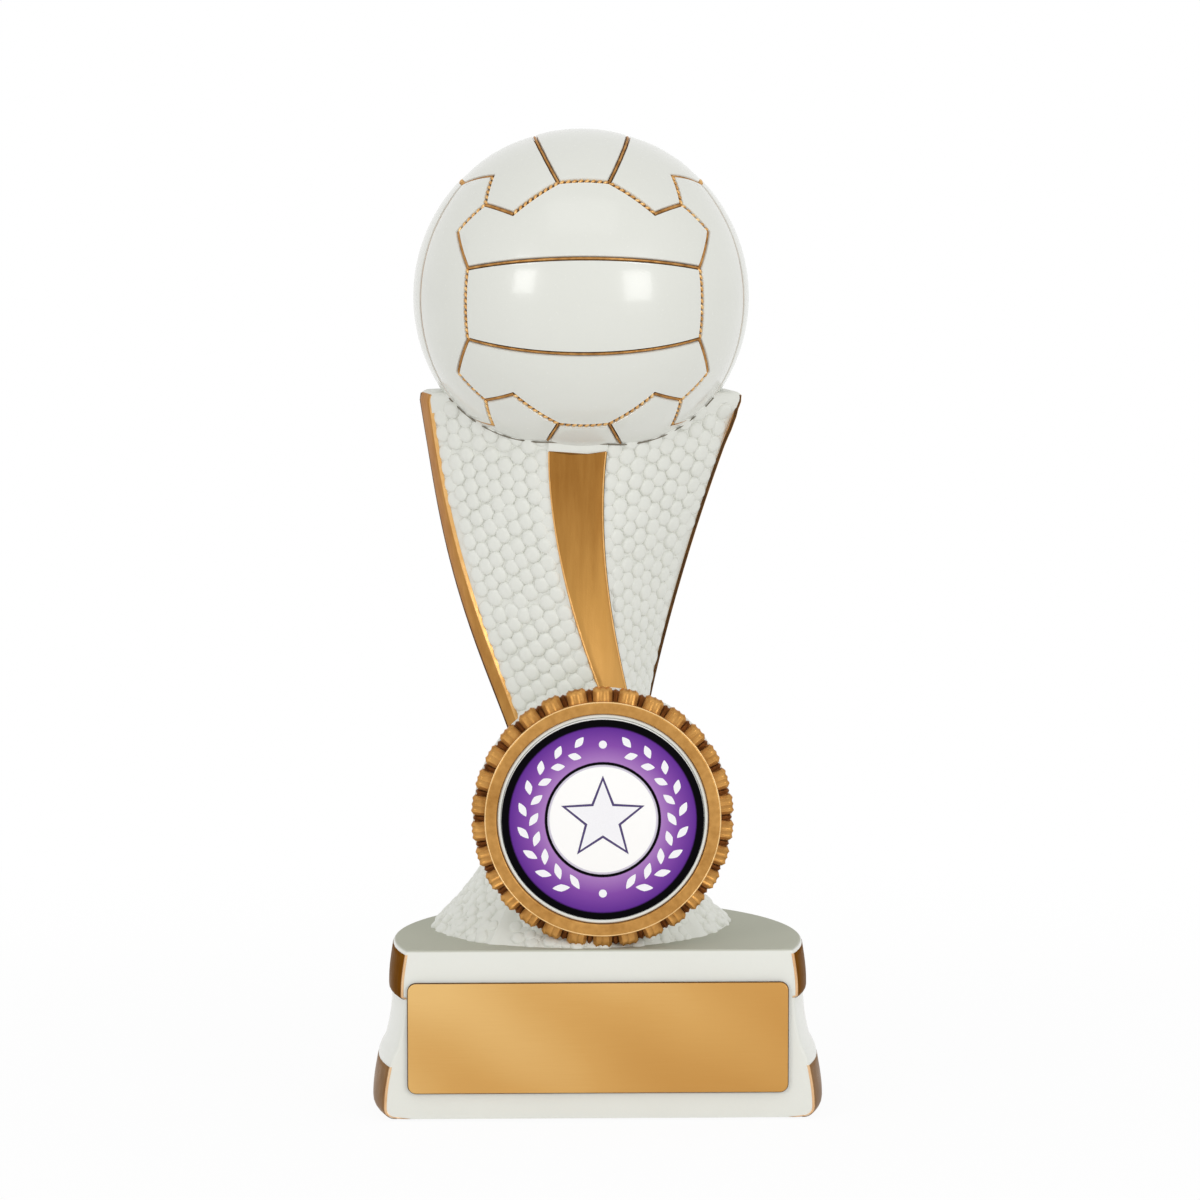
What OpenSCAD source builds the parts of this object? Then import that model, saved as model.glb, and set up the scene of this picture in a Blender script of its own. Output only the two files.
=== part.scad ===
// Netball trophy: an eighteen-panel ball seated on a twisted, flared column with
// gold ribbons, above a toothed medallion and a D-shaped plinth.
// Millimetres. The origin is the centre of the underside, X runs to the right,
// Y to the back and Z up; the name plate and the medallion face -Y.

/* [Plinth] */
// Width across the top of the plinth
plinth_w = 51; // [50:0.2:53]
// Height of the plinth
plinth_h = 21.4; // [19:0.2:23]
// Distance from the column's axis plane to the flat front panel
panel_y = 20; // [19:0.1:20.6]
// Distance from the column's axis plane to the back of the plinth's top
plinth_back = 18.3; // [17:0.1:18.3]
// Distance in front of the axis plane at which the plinth is widest
widest_y = 10; // [10:0.5:13]
// Radius of the plan's front corners
front_corner_r = 32; // [30:0.5:33]
// Radius of the plan's back
back_r = 18; // [16:0.5:19]
// Thickness of the white slab that carries the front panel
panel_slab = 0.6; // [0.4:0.1:1.2]

/* [Mouldings] */
// Height of the upper gold moulding
upper_band_h = 5.5; // [5:0.1:6.5]
// White lip above the upper moulding, which rounds into the top
top_lip = 0.6; // [0.4:0.1:1]
// How far the upper moulding swells beyond the plinth's top
upper_swell = 0.5; // [0.4:0.05:0.9]
// Height of the lower gold moulding
lower_band_h = 6.8; // [5:0.1:7]
// How far the lower moulding swells beyond the plinth's top
lower_swell = 2.6; // [2.4:0.1:3]
// Swell where the lower moulding starts, at its top
lower_shoulder = 1.9; // [1.6:0.1:2.1]
// Height of the white shoulder above the lower moulding
shoulder_h = 2.2; // [1.6:0.1:3]
// Swell where the shoulder meets the hollow between the mouldings
hollow_swell = 1.05; // [0.8:0.05:1.3]
// Thickness of both mouldings behind the plinth's top outline
moulding_t = 1.5; // [1:0.1:2]
// Radius of the lower moulding's foot
moulding_foot_r = 1.3; // [0.6:0.1:1.6]
// How far the mouldings return onto the front panel
corner_wrap = 0.4; // [0.2:0.1:0.6]

/* [Underside] */
// Thickness of the felt pad
felt_t = 1.3; // [1:0.1:2]
// How far the felt stands out of its recess
felt_proud = 0.3; // [0.2:0.05:0.6]
// Width of the plinth's rim round the felt
felt_rim = 2; // [1.5:0.1:3]

/* [Name plate] */
// Width of the name plate
plate_w = 46.9; // [40:0.1:47.5]
// Height of the name plate
plate_h = 13.7; // [11:0.1:14.5]
// Thickness of the name plate
plate_t = 0.5; // [0.3:0.1:0.8]
// Thickness of the adhesive pad behind the plate
plate_tape_t = 0.2; // [0.1:0.05:0.3]
// Radius of the plate's corners
plate_corner_r = 1; // [0.5:0.1:2]
// Height of the plate's lower edge
plate_z = 3.6; // [2:0.1:4]
// Sideways place of the plate, which sits a little to the left
plate_x = -0.2; // [-1:0.1:0.6]

/* [Column] */
// Height of the column, from the plinth to the tips of its ears
column_h = 67.6; // [62:0.2:74]
// Sideways place of the column and the ball
column_x = -1.8; // [-3:0.1:0]
// Height of the waist above the plinth
waist_h = 21.4; // [19:0.2:24]
// Half width of the waist
waist_half_w = 9.2; // [8.5:0.1:10]
// Half depth of the waist
waist_half_d = 10.7; // [10:0.1:11.5]
// Half depth of the column's mouth
mouth_half_d = 11.2; // [10.5:0.1:12.5]
// Wall between the ball and the tip of each ear
ear_wall = 2.2; // [1.8:0.1:3]
// Radius of the ears' outer edges
ear_round = 1.2; // [0.8:0.1:1.6]
// Radius of the column's foot
foot_r = 19.6; // [18.5:0.1:20]
// Twist of the column between its mouth and its waist, in degrees
twist = 39; // [20:1:50]
// Sideways bow of the column's middle
bow = 1.6; // [0:0.1:2]
// Bulge of the net faces between the ribbons
face_bulge = 0.4; // [0.2:0.1:1]

/* [Ribbons] */
// Width of the ribbons at the column's mouth
ribbon_w = 7.2; // [5:0.1:8]
// Width of the ribbons at their lower ends
ribbon_end_w = 1.7; // [1.2:0.1:3]
// Width of the side ribbons, as a share of the front one's
side_ribbon_share = 0.65; // [0.5:0.05:1]
// Turn of the side ribbons towards the front and the back, in degrees
side_turn = 13; // [5:1:18]
// Thickness of the ribbons
ribbon_t = 0.8; // [0.5:0.1:1.2]
// How far the ribbons stand out of the column
ribbon_proud = 0.12; // [0.05:0.01:0.3]
// Height of the ribbons' lower ends above the plinth
ribbon_foot_h = 13.5; // [12:0.5:17]
// White lip above the upper end of the front and back ribbons
ribbon_lip = 0.6; // [0.4:0.1:1.5]

/* [Medallion] */
// Sideways place of the medallion
medal_x = 0.4; // [-1:0.1:1]
// Diameter of the printed insert
insert_d = 25; // [24:0.5:26]
// Thickness of the printed insert
insert_t = 0.8; // [0.5:0.1:1.2]
// Thickness of the adhesive pad behind the insert
insert_tape_t = 0.2; // [0.1:0.05:0.3]
// Wall of the white recess round the insert
recess_wall = 0.45; // [0.3:0.05:0.6]
// Width of the ring's flat face
ring_face_w = 1.5; // [1.2:0.1:1.8]
// Length of the ring's teeth
tooth_h = 1.65; // [1.2:0.05:2]
// Number of teeth round the ring
tooth_count = 30; // [20:1:36]
// Width of the notch between two teeth
notch_w = 0.9; // [0.6:0.1:1.2]
// Depth of the ring, from front to back
ring_depth = 2.6; // [2.2:0.1:3]
// How far the teeth are set back from the ring's face
tooth_setback = 0.7; // [0.4:0.1:1]
// Thickness of the white backing disc
backing_t = 1.4; // [1:0.1:2]
// How far the backing disc shows beyond the teeth
backing_lip = 0.15; // [0.05:0.05:0.4]

/* [Ball] */
// Diameter of the ball
ball_d = 42; // [40:0.2:44]
// Depth of the ball below the tips of the ears
ball_sink = 9.3; // [8.5:0.1:10]
// Thickness of the panels
panel_t = 0.6; // [0.5:0.05:1]
// Width of the grooves between the panels
groove_w = 0.45; // [0.3:0.05:0.7]

/* [Tie rod] */
// Diameter of the rod
rod_d = 4; // [3:0.1:5]
// Length of the rod inside the ball
rod_grip = 8; // [5:0.5:12]
// Diameter of the counterbore under the plinth
counterbore_d = 11; // [10:0.5:13]
// Depth of the counterbore above the felt
counterbore_h = 5.6; // [5:0.2:8]
// Outer diameter of the washer
washer_d = 9; // [8.5:0.1:9.5]
// Thickness of the washer
washer_t = 0.8; // [0.5:0.1:1.2]
// Width of the nut across its flats
nut_af = 7; // [6.5:0.1:8]
// Height of the nut
nut_h = 3.2; // [2.4:0.1:3.6]

/* [Fit] */
// Clearance between two pieces that seat on each other
seat_gap = 0.05; // [0.02:0.01:0.1]
// Clearance round the rod in its bores
rod_gap = 0.15; // [0.1:0.05:0.3]

/* [Hidden] */
$fn = 96;
// Overrun of every cutter past the surface that it opens
over = 1;
ball_r = ball_d / 2;
core_r = ball_r - panel_t;
insert_r = insert_d / 2;

// Faces of the ball: name, rotation that brings the local +Z outwards and the
// local X along its strips, direction of the cube edges at the strips' ends and
// at their sides, strip names
FACES = [
    ["front", [90, 0, 0], "z", "x", ["upper", "middle", "lower"]],
    ["back", [90, 0, 180], "z", "x", ["upper", "middle", "lower"]],
    ["top", [0, 0, 90], "x", "y", ["left", "middle", "right"]],
    ["bottom", [180, 0, 90], "x", "y", ["right", "middle", "left"]],
    ["left", [0, -90, 0], "y", "z", ["back", "middle", "front"]],
    ["right", [0, 90, 0], "y", "z", ["back", "middle", "front"]],
];
BALL_NODES = [for (face = FACES) for (strip = face[4]) str("panel_", face[0], "_", strip)];
RIBBONS = ["left", "front", "right", "back"];

white = "#e2e3dc";
gold = "#b8863f";

// Levels of the stack
ear_z = plinth_h + column_h;
ball_z = ear_z - ball_sink + ball_r;
lip_z = ball_z - sqrt((ball_r + seat_gap)^2 - mouth_half_d^2);
waist_z = plinth_h + waist_h;
rim_z = felt_proud;
counterbore_z = felt_t + counterbore_h;

// Rings of the medallion, from the insert outwards
recess_r = insert_r + seat_gap;
hub_r = recess_r + recess_wall;
ring_in_r = hub_r + seat_gap;
ring_face_r = ring_in_r + ring_face_w;
ring_r = ring_face_r + tooth_h;
backing_r = ring_r + backing_lip;
medal_z = plinth_h + ring_r;
ring_face_y = panel_y;

function unit(v) = v / norm(v);
function lerp(from, to, share) = from + (to - from) * share;

// Plan of the plinth: a side arc runs tangent into the back arc
half_w = plinth_w / 2;
plan_depth = plinth_back + widest_y;
side_r = (half_w^2 + (plan_depth - back_r)^2 - back_r^2) / (2 * (half_w - back_r));
back_centre_y = plinth_back - back_r;
join_angle = atan2(plan_depth - back_r, side_r - half_w);

// Stations round the plan, from the right front corner to the left one, each
// with the centre, the radius and the angle of its arc. The first and last lie
// in front of the panel, which cuts every section there.
arc_steps = 6;
back_steps = 4;
front_angle = asin((panel_y - widest_y + over) / (front_corner_r - felt_rim * 2));
right_stations = concat(
    [for (i = [0:arc_steps - 1])
        [[half_w - front_corner_r, -widest_y], front_corner_r, -front_angle * (1 - i / arc_steps)]],
    [for (i = [0:arc_steps - 1])
        [[half_w - side_r, -widest_y], side_r, join_angle * i / arc_steps]],
    [for (i = [0:back_steps])
        [[0, back_centre_y], back_r, lerp(join_angle, 90, i / back_steps)]]
);
last_right = len(right_stations) - 1;
stations = concat(
    right_stations,
    [for (i = [last_right - 1:-1:0])
        let (s = right_stations[i])
        [[-s[0][0], s[0][1]], s[1], 180 - s[2]]]
);

function on_plan(station, offset) =
    station[0] + (station[1] + offset) * [cos(station[2]), sin(station[2])];
function plan_outline(offset) = [for (s = stations) on_plan(s, offset)];
function raised(p, z) = [p[0], p[1], z];

// Block whose outline follows a line of [offset, height] points, top first
module plan_block(line)
    loft([
        for (i = [len(line) - 1:-1:0])
            [for (s = stations) raised(on_plan(s, line[i][0]), line[i][1])]
    ]);

// Band that sweeps a closed section of [offset, height] points round the plan
module plan_band(section)
    loft([for (s = stations) [for (p = section) raised(on_plan(s, p[0]), p[1])]]);

// Half space behind a plane that is set back from the front panel
module behind_panel(setback) {
    reach = plinth_w * 2;
    translate([-reach / 2, setback - panel_y, -over])
        cube([reach, reach, ear_z]);
}

// Arc of points about a centre, for the rounded corners of profiles
function arc(centre, radius, from, to, steps = 5) = [
    for (i = [0:steps])
        let (a = lerp(from, to, i / steps))
        centre + radius * [cos(a), sin(a)]
];

lower_top_z = lower_band_h;
shoulder_z = lower_top_z + shoulder_h;
upper_top_z = plinth_h - top_lip;
upper_bottom_z = upper_top_z - upper_band_h;
tuck_share = 0.7;
tuck_r = upper_swell * tuck_share;
hollow_steps = 6;
swell_steps = 5;

// Rounded edge of the top, downwards
function lip_line() = arc([-top_lip, upper_top_z], top_lip, 90, 0);

// Outer line of the upper moulding, downwards
function upper_line() = concat(
    [for (i = [0:swell_steps])
        let (share = i / swell_steps)
        [upper_swell * sin(90 * share), lerp(upper_top_z, upper_bottom_z + tuck_r * 2, share)]],
    arc([upper_swell - tuck_r, upper_bottom_z + tuck_r], tuck_r, 0, -90, 4)
);

// White line between the two mouldings, downwards: a hollow and a shoulder
function hollow_line() = concat(
    [for (i = [0:hollow_steps])
        let (share = i / hollow_steps)
        [lerp(upper_swell - tuck_r, hollow_swell, share * share),
         lerp(upper_bottom_z, shoulder_z, share)]],
    [for (i = [1:swell_steps])
        let (share = i / swell_steps)
        [lerp(hollow_swell, lower_shoulder, sin(90 * share)),
         lerp(shoulder_z, lower_top_z, share)]]
);

// Outer line of the lower moulding, downwards to the rim
function lower_line() = concat(
    [for (i = [0:swell_steps])
        let (share = i / swell_steps)
        [lerp(lower_shoulder, lower_swell, sin(90 * share)),
         lerp(lower_top_z, rim_z + moulding_foot_r, share)]],
    arc([lower_swell - moulding_foot_r, rim_z + moulding_foot_r], moulding_foot_r, -15, -90)
);

// Outer line of the whole plinth, and the same line with a rebate for each
// moulding, both downwards
full_line = concat(lip_line(), upper_line(), hollow_line(), lower_line());
rebated_line = concat(
    lip_line(),
    [[-moulding_t, upper_top_z], [-moulding_t, upper_bottom_z]],
    hollow_line(),
    [[-moulding_t, lower_top_z], [-moulding_t, rim_z]]
);

// Half width of the flat front where the outline is offset by a swell
function corner_x(swell) =
    half_w - front_corner_r + sqrt((front_corner_r + swell)^2 - (panel_y - widest_y)^2);
upper_end_x = corner_x(0) - corner_wrap;
lower_end_x = corner_x(lower_shoulder) - corner_wrap;

// White slab of the front panel between the ends of the two mouldings
module front_slab(gap) {
    depth = panel_slab + over + gap;
    translate([-upper_end_x - gap, -panel_y - over, upper_bottom_z - gap])
        cube([(upper_end_x + gap) * 2, depth, upper_band_h + gap * 2]);
    translate([-lower_end_x - gap, -panel_y - over, rim_z - gap])
        cube([(lower_end_x + gap) * 2, depth, lower_top_z - rim_z + gap * 2]);
}

// Felt pad's shape, less a gap all round
module felt_shape(gap, height) intersection() {
    linear_extrude(height) polygon(plan_outline(-felt_rim - gap));
    behind_panel(felt_rim + gap);
}

module plinth() color(white) difference() {
    union() {
        intersection() {
            plan_block(full_line);
            front_slab(0);
            behind_panel(0);
        }
        intersection() {
            plan_block(rebated_line);
            behind_panel(0);
        }
    }
    felt_shape(0, felt_t);
    translate([column_x, 0, 0]) {
        cylinder(d = counterbore_d, h = counterbore_z);
        cylinder(d = rod_d + rod_gap * 2, h = plinth_h + over);
    }
}

module moulding(outer_line, low, high) color(gold) difference() {
    intersection() {
        plan_band(concat([[-moulding_t + seat_gap, high]], outer_line, [[-moulding_t + seat_gap, low]]));
        behind_panel(0);
    }
    front_slab(seat_gap);
}

module upper_moulding() moulding(upper_line(), upper_bottom_z, upper_top_z);

module lower_moulding() moulding(lower_line(), rim_z, lower_top_z);

module felt_pad() color("#3c4a43") felt_shape(seat_gap, felt_t - seat_gap);

// Plate outline with round corners, standing in the XZ plane
module upright_plate(inset, y, thickness) {
    w = plate_w - inset * 2;
    h = plate_h - inset * 2;
    r = plate_corner_r;
    translate([plate_x, y, plate_z + plate_h / 2])
        rotate([90, 0, 0])
            linear_extrude(thickness) {
                square([w - r * 2, h], center = true);
                square([w, h - r * 2], center = true);
                for (x = [-1, 1], z = [-1, 1])
                    translate([x * (w / 2 - r), z * (h / 2 - r)]) circle(r);
            }
}

tape_inset = plate_corner_r;

module plate_tape() color("#d9d9d9") upright_plate(tape_inset, -panel_y, plate_tape_t);

module name_plate() color("#d6a355") upright_plate(0, -panel_y - plate_tape_t, plate_t);

// Horizontal radius of the ball's seat at a height
seat_r = ball_r + seat_gap;
function seat_half_w(z) = sqrt(seat_r^2 - (ball_z - z)^2);

// Half width of the column where the ears end
ear_half_w = seat_half_w(ear_z) + ear_wall;
shaft_top_z = ear_z - ear_round;
ribbon_top_z = lip_z - ribbon_lip;
ribbon_foot_z = plinth_h + ribbon_foot_h;

// Growth from the waist upwards: level at the waist, then straight
throat_share = 0.28;
throat = waist_h * throat_share;
function growth(z) = sqrt((z - waist_z)^2 + throat^2) - throat;
function spread(waist_size, top_size, top_z, z) =
    lerp(waist_size, top_size, growth(z) / growth(top_z));

// Share of the way from the waist down to the plinth, with the foot's flare
foot_power_share = 2.3;
function foot_share(z) = pow((waist_z - z) / waist_h, foot_power_share);

function ear_rounding(z) =
    z > shaft_top_z ? ear_round - sqrt(max(0, ear_round^2 - (z - shaft_top_z)^2)) : 0;

function column_half_w(z) = z > waist_z
    ? spread(waist_half_w, ear_half_w, ear_z, z) - ear_rounding(z)
    : lerp(waist_half_w, foot_r, foot_share(z));
function column_half_d(z) = z > waist_z
    ? spread(waist_half_d, mouth_half_d, lip_z, z) - ear_rounding(z)
    : lerp(waist_half_d, foot_r - panel_slab * 2, foot_share(z));

// The twist speeds up down to the waist and fades out in the foot
twist_reach = ribbon_top_z - waist_z;
twist_power_share = 1.5;
twist_rate = twist_power_share * twist / twist_reach;
function column_twist(z) = z > waist_z
    ? twist * pow(max(0, ribbon_top_z - z) / twist_reach, twist_power_share)
    : twist + twist_rate * ((waist_z - z) - (waist_z - z)^2 / (waist_h * 2));

// The axis bows to the left between the mouth and the waist
function column_axis_x(z) = column_x - (z > waist_z
    ? bow * sin(180 * min(1, (z - waist_z) / (ear_z - waist_z)))
    : 0);

function is_side(k) = k % 2 == 0;

function ribbon_half_w(k, z) =
    (is_side(k) ? side_ribbon_share : 1)
    * max(ribbon_end_w / 2,
        lerp(ribbon_end_w, ribbon_w, (z - ribbon_foot_z) / (ribbon_top_z - ribbon_foot_z)) / 2);

foot_bulge_share = 0.27;
function bulge(z) = z > waist_z
    ? face_bulge
    : lerp(face_bulge, foot_r * foot_bulge_share, foot_share(z));

// Turns and places a plan point of the column at height z
function placed(p, z) =
    let (a = column_twist(z))
    [column_axis_x(z) + p[0] * cos(a) - p[1] * sin(a), p[0] * sin(a) + p[1] * cos(a), z];

// Point of corner k, which the ribbon's middle passes, moved out and sideways.
// Corners 0 to 3 are left, front, right and back, and the flats of the side
// corners turn towards the front on the left and towards the back on the right.
function corner_point(k, z, out, sideways) =
    let (a = 180 + 90 * k,
         reach = is_side(k)
            ? column_half_w(z) + out - sideways * tan(side_turn)
            : column_half_d(z) + out)
    reach * [cos(a), sin(a)] + sideways * [-sin(a), cos(a)];

face_steps = 6;

// One ring of the column: a flat for each ribbon and a bulged face to the next
function ring(z) = [
    for (k = [0:3])
        let (w = ribbon_half_w(k, z),
             flat_start = corner_point(k, z, 0, -w),
             flat_end = corner_point(k, z, 0, w),
             next_start = corner_point(k + 1, z, 0, -ribbon_half_w(k + 1, z)),
             chord = next_start - flat_end,
             outward = unit([chord[1], -chord[0]]))
        each concat(
            [placed(flat_start, z)],
            [for (i = [0:face_steps - 1])
                let (share = i / face_steps)
                placed(flat_end + chord * share + outward * bulge(z) * 4 * share * (1 - share), z)]
        )
];

function middle(points) = [for (p = points) 1] * points / len(points);

// Solid between stacked rings of equal point counts, lowest ring first, with
// caps that fan out from the middle of the first and the last ring
module loft(rings) {
    count = len(rings[0]);
    last = (len(rings) - 1) * count;
    low = last + count;
    high = low + 1;
    sides = [
        for (i = [0:len(rings) - 2], j = [0:count - 1])
            let (a = i * count + j, b = i * count + (j + 1) % count)
            each [[a, a + count, b], [b, a + count, b + count]]
    ];
    caps = [
        for (j = [0:count - 1])
            let (next = (j + 1) % count)
            each [[j, next, low], [last + next, last + j, high]]
    ];
    polyhedron(
        points = concat([for (r = rings) each r], [middle(rings[0]), middle(rings[len(rings) - 1])]),
        faces = concat(sides, caps)
    );
}

foot_levels = 10;
level_power_share = 1.3;
shaft_levels = 20;
ear_levels = 4;
column_levels = concat(
    [for (i = [0:foot_levels - 1])
        plinth_h + waist_h * (1 - pow(1 - i / foot_levels, level_power_share))],
    [for (i = [0:shaft_levels]) lerp(waist_z, shaft_top_z, i / shaft_levels)],
    [for (i = [1:ear_levels]) shaft_top_z + ear_round * sin(90 * i / ear_levels)]
);

ribbon_levels = 16;

// Solid under the face of corner k, from inner to outer, widened by gap
module ribbon_solid(k, low, high, inner, outer, gap) {
    function strip(z) =
        let (w = ribbon_half_w(k, z) - gap)
        [placed(corner_point(k, z, outer, -w), z), placed(corner_point(k, z, outer, w), z),
         placed(corner_point(k, z, inner, w), z), placed(corner_point(k, z, inner, -w), z)];
    loft([for (i = [0:ribbon_levels]) strip(lerp(low, high, i / ribbon_levels))]);
}

// The side ribbons run up the ears, the front and back ones end below the lip
function ribbon_high_z(k) = is_side(k) ? shaft_top_z : ribbon_top_z;

module ribbon(k) color(gold) difference() {
    ribbon_solid(k, ribbon_foot_z, ribbon_high_z(k), -ribbon_t, ribbon_proud, seat_gap);
    medal_pocket();
}

// Revolves [radius, depth] points about the medallion's axis, depth in front of
// the column's axis plane
module revolve_medal(profile)
    translate([medal_x, 0, medal_z])
        rotate([90, 0, 0])
            rotate_extrude($fn = 128) polygon(profile);

ring_back_y = ring_face_y - ring_depth;
backing_y = ring_back_y - backing_t;
boss_seat_share = 0.75;
boss_seat_y = waist_half_d * boss_seat_share;
boss_seat_r = waist_half_w;
boss_shoulder_r = ring_face_r;
spigot_r = boss_seat_r / 2;
spigot_y = boss_seat_y - spigot_r * boss_seat_share;
recess_floor_y = ring_face_y - insert_t - insert_tape_t - tooth_setback / 2;
hub_face_y = ring_face_y - tooth_setback / 2;

// Rear of the holder: the cone and spigot that seat in the column's waist
function boss_rear(gap) = [
    [0, spigot_y - gap], [spigot_r + gap, spigot_y - gap], [spigot_r + gap, boss_seat_y - gap],
    [boss_seat_r + gap, boss_seat_y - gap], [boss_shoulder_r + gap, backing_y - gap],
    [backing_r + gap, backing_y - gap]
];

module medal_boss() color(white) difference() {
    revolve_medal(concat(boss_rear(0), [
        [backing_r, ring_back_y - seat_gap], [hub_r, ring_back_y - seat_gap], [hub_r, hub_face_y],
        [recess_r, hub_face_y], [recess_r, recess_floor_y], [0, recess_floor_y]
    ]));
    translate([-plinth_w / 2, -ring_face_y - over, -over])
        cube([plinth_w, ring_face_y + over, plinth_h + over]);
}

module medal_pocket()
    revolve_medal(concat(boss_rear(seat_gap),
        [[backing_r + seat_gap, ring_face_y + over], [0, ring_face_y + over]]));

// Flat ring with rounded edges, and teeth set back from its face
module medal_ring() color(gold) {
    edge = ring_face_w / 5;
    pitch = 360 / tooth_count;
    tooth_face_y = ring_face_y - tooth_setback;
    revolve_medal(concat(
        [[ring_in_r, ring_back_y], [ring_face_r, ring_back_y]],
        arc([ring_face_r - edge, ring_face_y - edge], edge, 0, 90),
        arc([ring_in_r + edge, ring_face_y - edge], edge, 90, 180)
    ));
    translate([medal_x, -ring_back_y, medal_z])
        rotate([90, 0, 0])
            linear_extrude(tooth_face_y - ring_back_y)
                difference() {
                    circle(ring_r);
                    circle(ring_face_r - edge);
                    for (i = [0:tooth_count - 1])
                        rotate(i * pitch + pitch / 2)
                            translate([ring_face_r, -notch_w / 2]) square([tooth_h + over, notch_w]);
                }
}

module insert_tape() color("#d9d9d9")
    revolve_medal([[0, recess_floor_y], [insert_r - recess_wall, recess_floor_y],
        [insert_r - recess_wall, recess_floor_y + insert_tape_t], [0, recess_floor_y + insert_tape_t]]);

module insert_disc() color("#7a4fa0") {
    back = recess_floor_y + insert_tape_t;
    revolve_medal([[0, back], [insert_r, back], [insert_r, back + insert_t], [0, back + insert_t]]);
}

module column() color(white) difference() {
    loft([for (z = column_levels) ring(z)]);
    for (k = [0:3])
        ribbon_solid(k, ribbon_foot_z - seat_gap, ribbon_high_z(k) + seat_gap,
            -ribbon_t - seat_gap, over, 0);
    translate([column_x, 0, ball_z]) sphere(seat_r);
    translate([column_x, 0, 0]) cylinder(d = rod_d + rod_gap * 2, h = ball_z);
    medal_pocket();
}

rod_end_z = ball_z - core_r + rod_grip;
rod_start_z = counterbore_z - washer_t - nut_h - rod_d / 8;

module on_rod(z) translate([column_x, 0, z]) children();

module check_rod() color("silver") on_rod(rod_start_z) cylinder(d = rod_d, h = rod_end_z - rod_start_z);

module rod_washer() color("silver") on_rod(counterbore_z - washer_t) difference() {
    cylinder(d = washer_d, h = washer_t);
    translate([0, 0, -over]) cylinder(d = rod_d + rod_gap, h = washer_t + over * 2);
}

module rod_nut() color("silver") on_rod(counterbore_z - washer_t - nut_h) difference() {
    cylinder(d = nut_af / cos(30), h = nut_h, $fn = 6);
    translate([0, 0, -over]) cylinder(d = rod_d + seat_gap, h = nut_h + over * 2);
}

module ball_core() color(gold) difference() {
    translate([column_x, 0, ball_z]) sphere(core_r - seat_gap);
    on_rod(ball_z - ball_d) cylinder(d = rod_d + seat_gap, h = rod_end_z + seat_gap - ball_z + ball_d);
}

// Seams of the ball, on the unit sphere. A seam runs along each edge of an
// inscribed cube, between a face whose strips run beside it and a face whose
// strips end on it: [along the edge, towards the first, towards the second].
corner_seam_shares = unit([1, 1, 1]);
kink_seam_shares = unit([0.415, 0.74, 0.53]);
middle_seam_shares = unit([0, 0.695, 0.72]);
strip_centre_share = 0.292;
// Share along each edge, by its direction, at which a strip line meets the seam
function strip_end_share(edge) = edge == "x" ? 0.147 : edge == "y" ? 0.19 : 0.21;
function strip_seam_shares(edge) = unit([strip_end_share(edge), 0.685, 0.705]);

// A seam point on the side of the local face along which its strips run, and
// one on the end of its strips, as [along, across, outwards]
function on_side(s, sign) = [s[0] * sign, s[2], s[1]];
function on_end(s, sign) = [s[1] * sign, s[0], s[2]];

strip_steps = 10;

// Strip line above the middle strip, from its left end to its right end
function strip_line(end_edge) =
    let (end = on_end(strip_seam_shares(end_edge), 1),
         u = end[0] / end[2],
         v = end[1] / end[2])
    [for (i = [0:strip_steps])
        let (share = 2 * i / strip_steps - 1)
        unit([u * share, lerp(strip_centre_share, v, share^2), 1])];

// Seam above the outer strip, with as many points as the strip line
function seam_line(end_edge, side_edge) =
    let (half = [on_side(middle_seam_shares, 1), on_side(strip_seam_shares(side_edge), 1),
             on_side(kink_seam_shares, 1), corner_seam_shares,
             on_end(kink_seam_shares, 1), on_end(strip_seam_shares(end_edge), 1)])
    concat([for (i = [5:-1:1]) mirrored(half[i])], half);

function mirrored(p) = [-p[0], p[1], p[2]];
function flipped(p) = [p[0], -p[1], p[2]];

// Heights of the wedges below and above the panels, as shares of the radii
wedge_low_share = 0.4;
wedge_high_share = 1.1;

// Solid bounded by planes that stand half a groove inside the outline's seams.
// The lower and upper chains share their first and last points.
module panel_wedge(lower, upper) {
    steps = len(lower) - 1;
    outline = concat(lower, [for (i = [steps - 1:-1:1]) upper[i]]);
    count = len(outline);
    inner_h = core_r * wedge_low_share;
    outer_h = ball_r * wedge_high_share;
    function wall(i) = unit(cross(outline[i], outline[(i + 1) % count]));
    function corner(i, h) =
        let (a = wall((i + count - 1) % count), b = wall(i), v = outline[i],
             shift = groove_w / 2 * (a + b) / (1 + a * b))
        shift + v * (h - shift[2]) / v[2];
    function upper_index(i) = i == 0 ? 0 : i == steps ? steps : count - i;
    cap = [
        for (i = [0:steps - 1])
            let (a = i, b = i + 1, c = upper_index(i + 1), d = upper_index(i))
            each concat(b == c ? [] : [[a, b, c]], a == d ? [] : [[a, c, d]])
    ];
    caps = concat([for (f = cap) [f[2], f[1], f[0]]], [for (f = cap) f + [count, count, count]]);
    sides = [
        for (i = [0:count - 1])
            let (j = (i + 1) % count)
            each [[i, j, i + count], [j, j + count, i + count]]
    ];
    polyhedron(
        points = concat([for (i = [0:count - 1]) corner(i, inner_h)],
            [for (i = [0:count - 1]) corner(i, outer_h)]),
        faces = [for (f = concat(caps, sides)) [f[2], f[1], f[0]]]
    );
}

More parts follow.
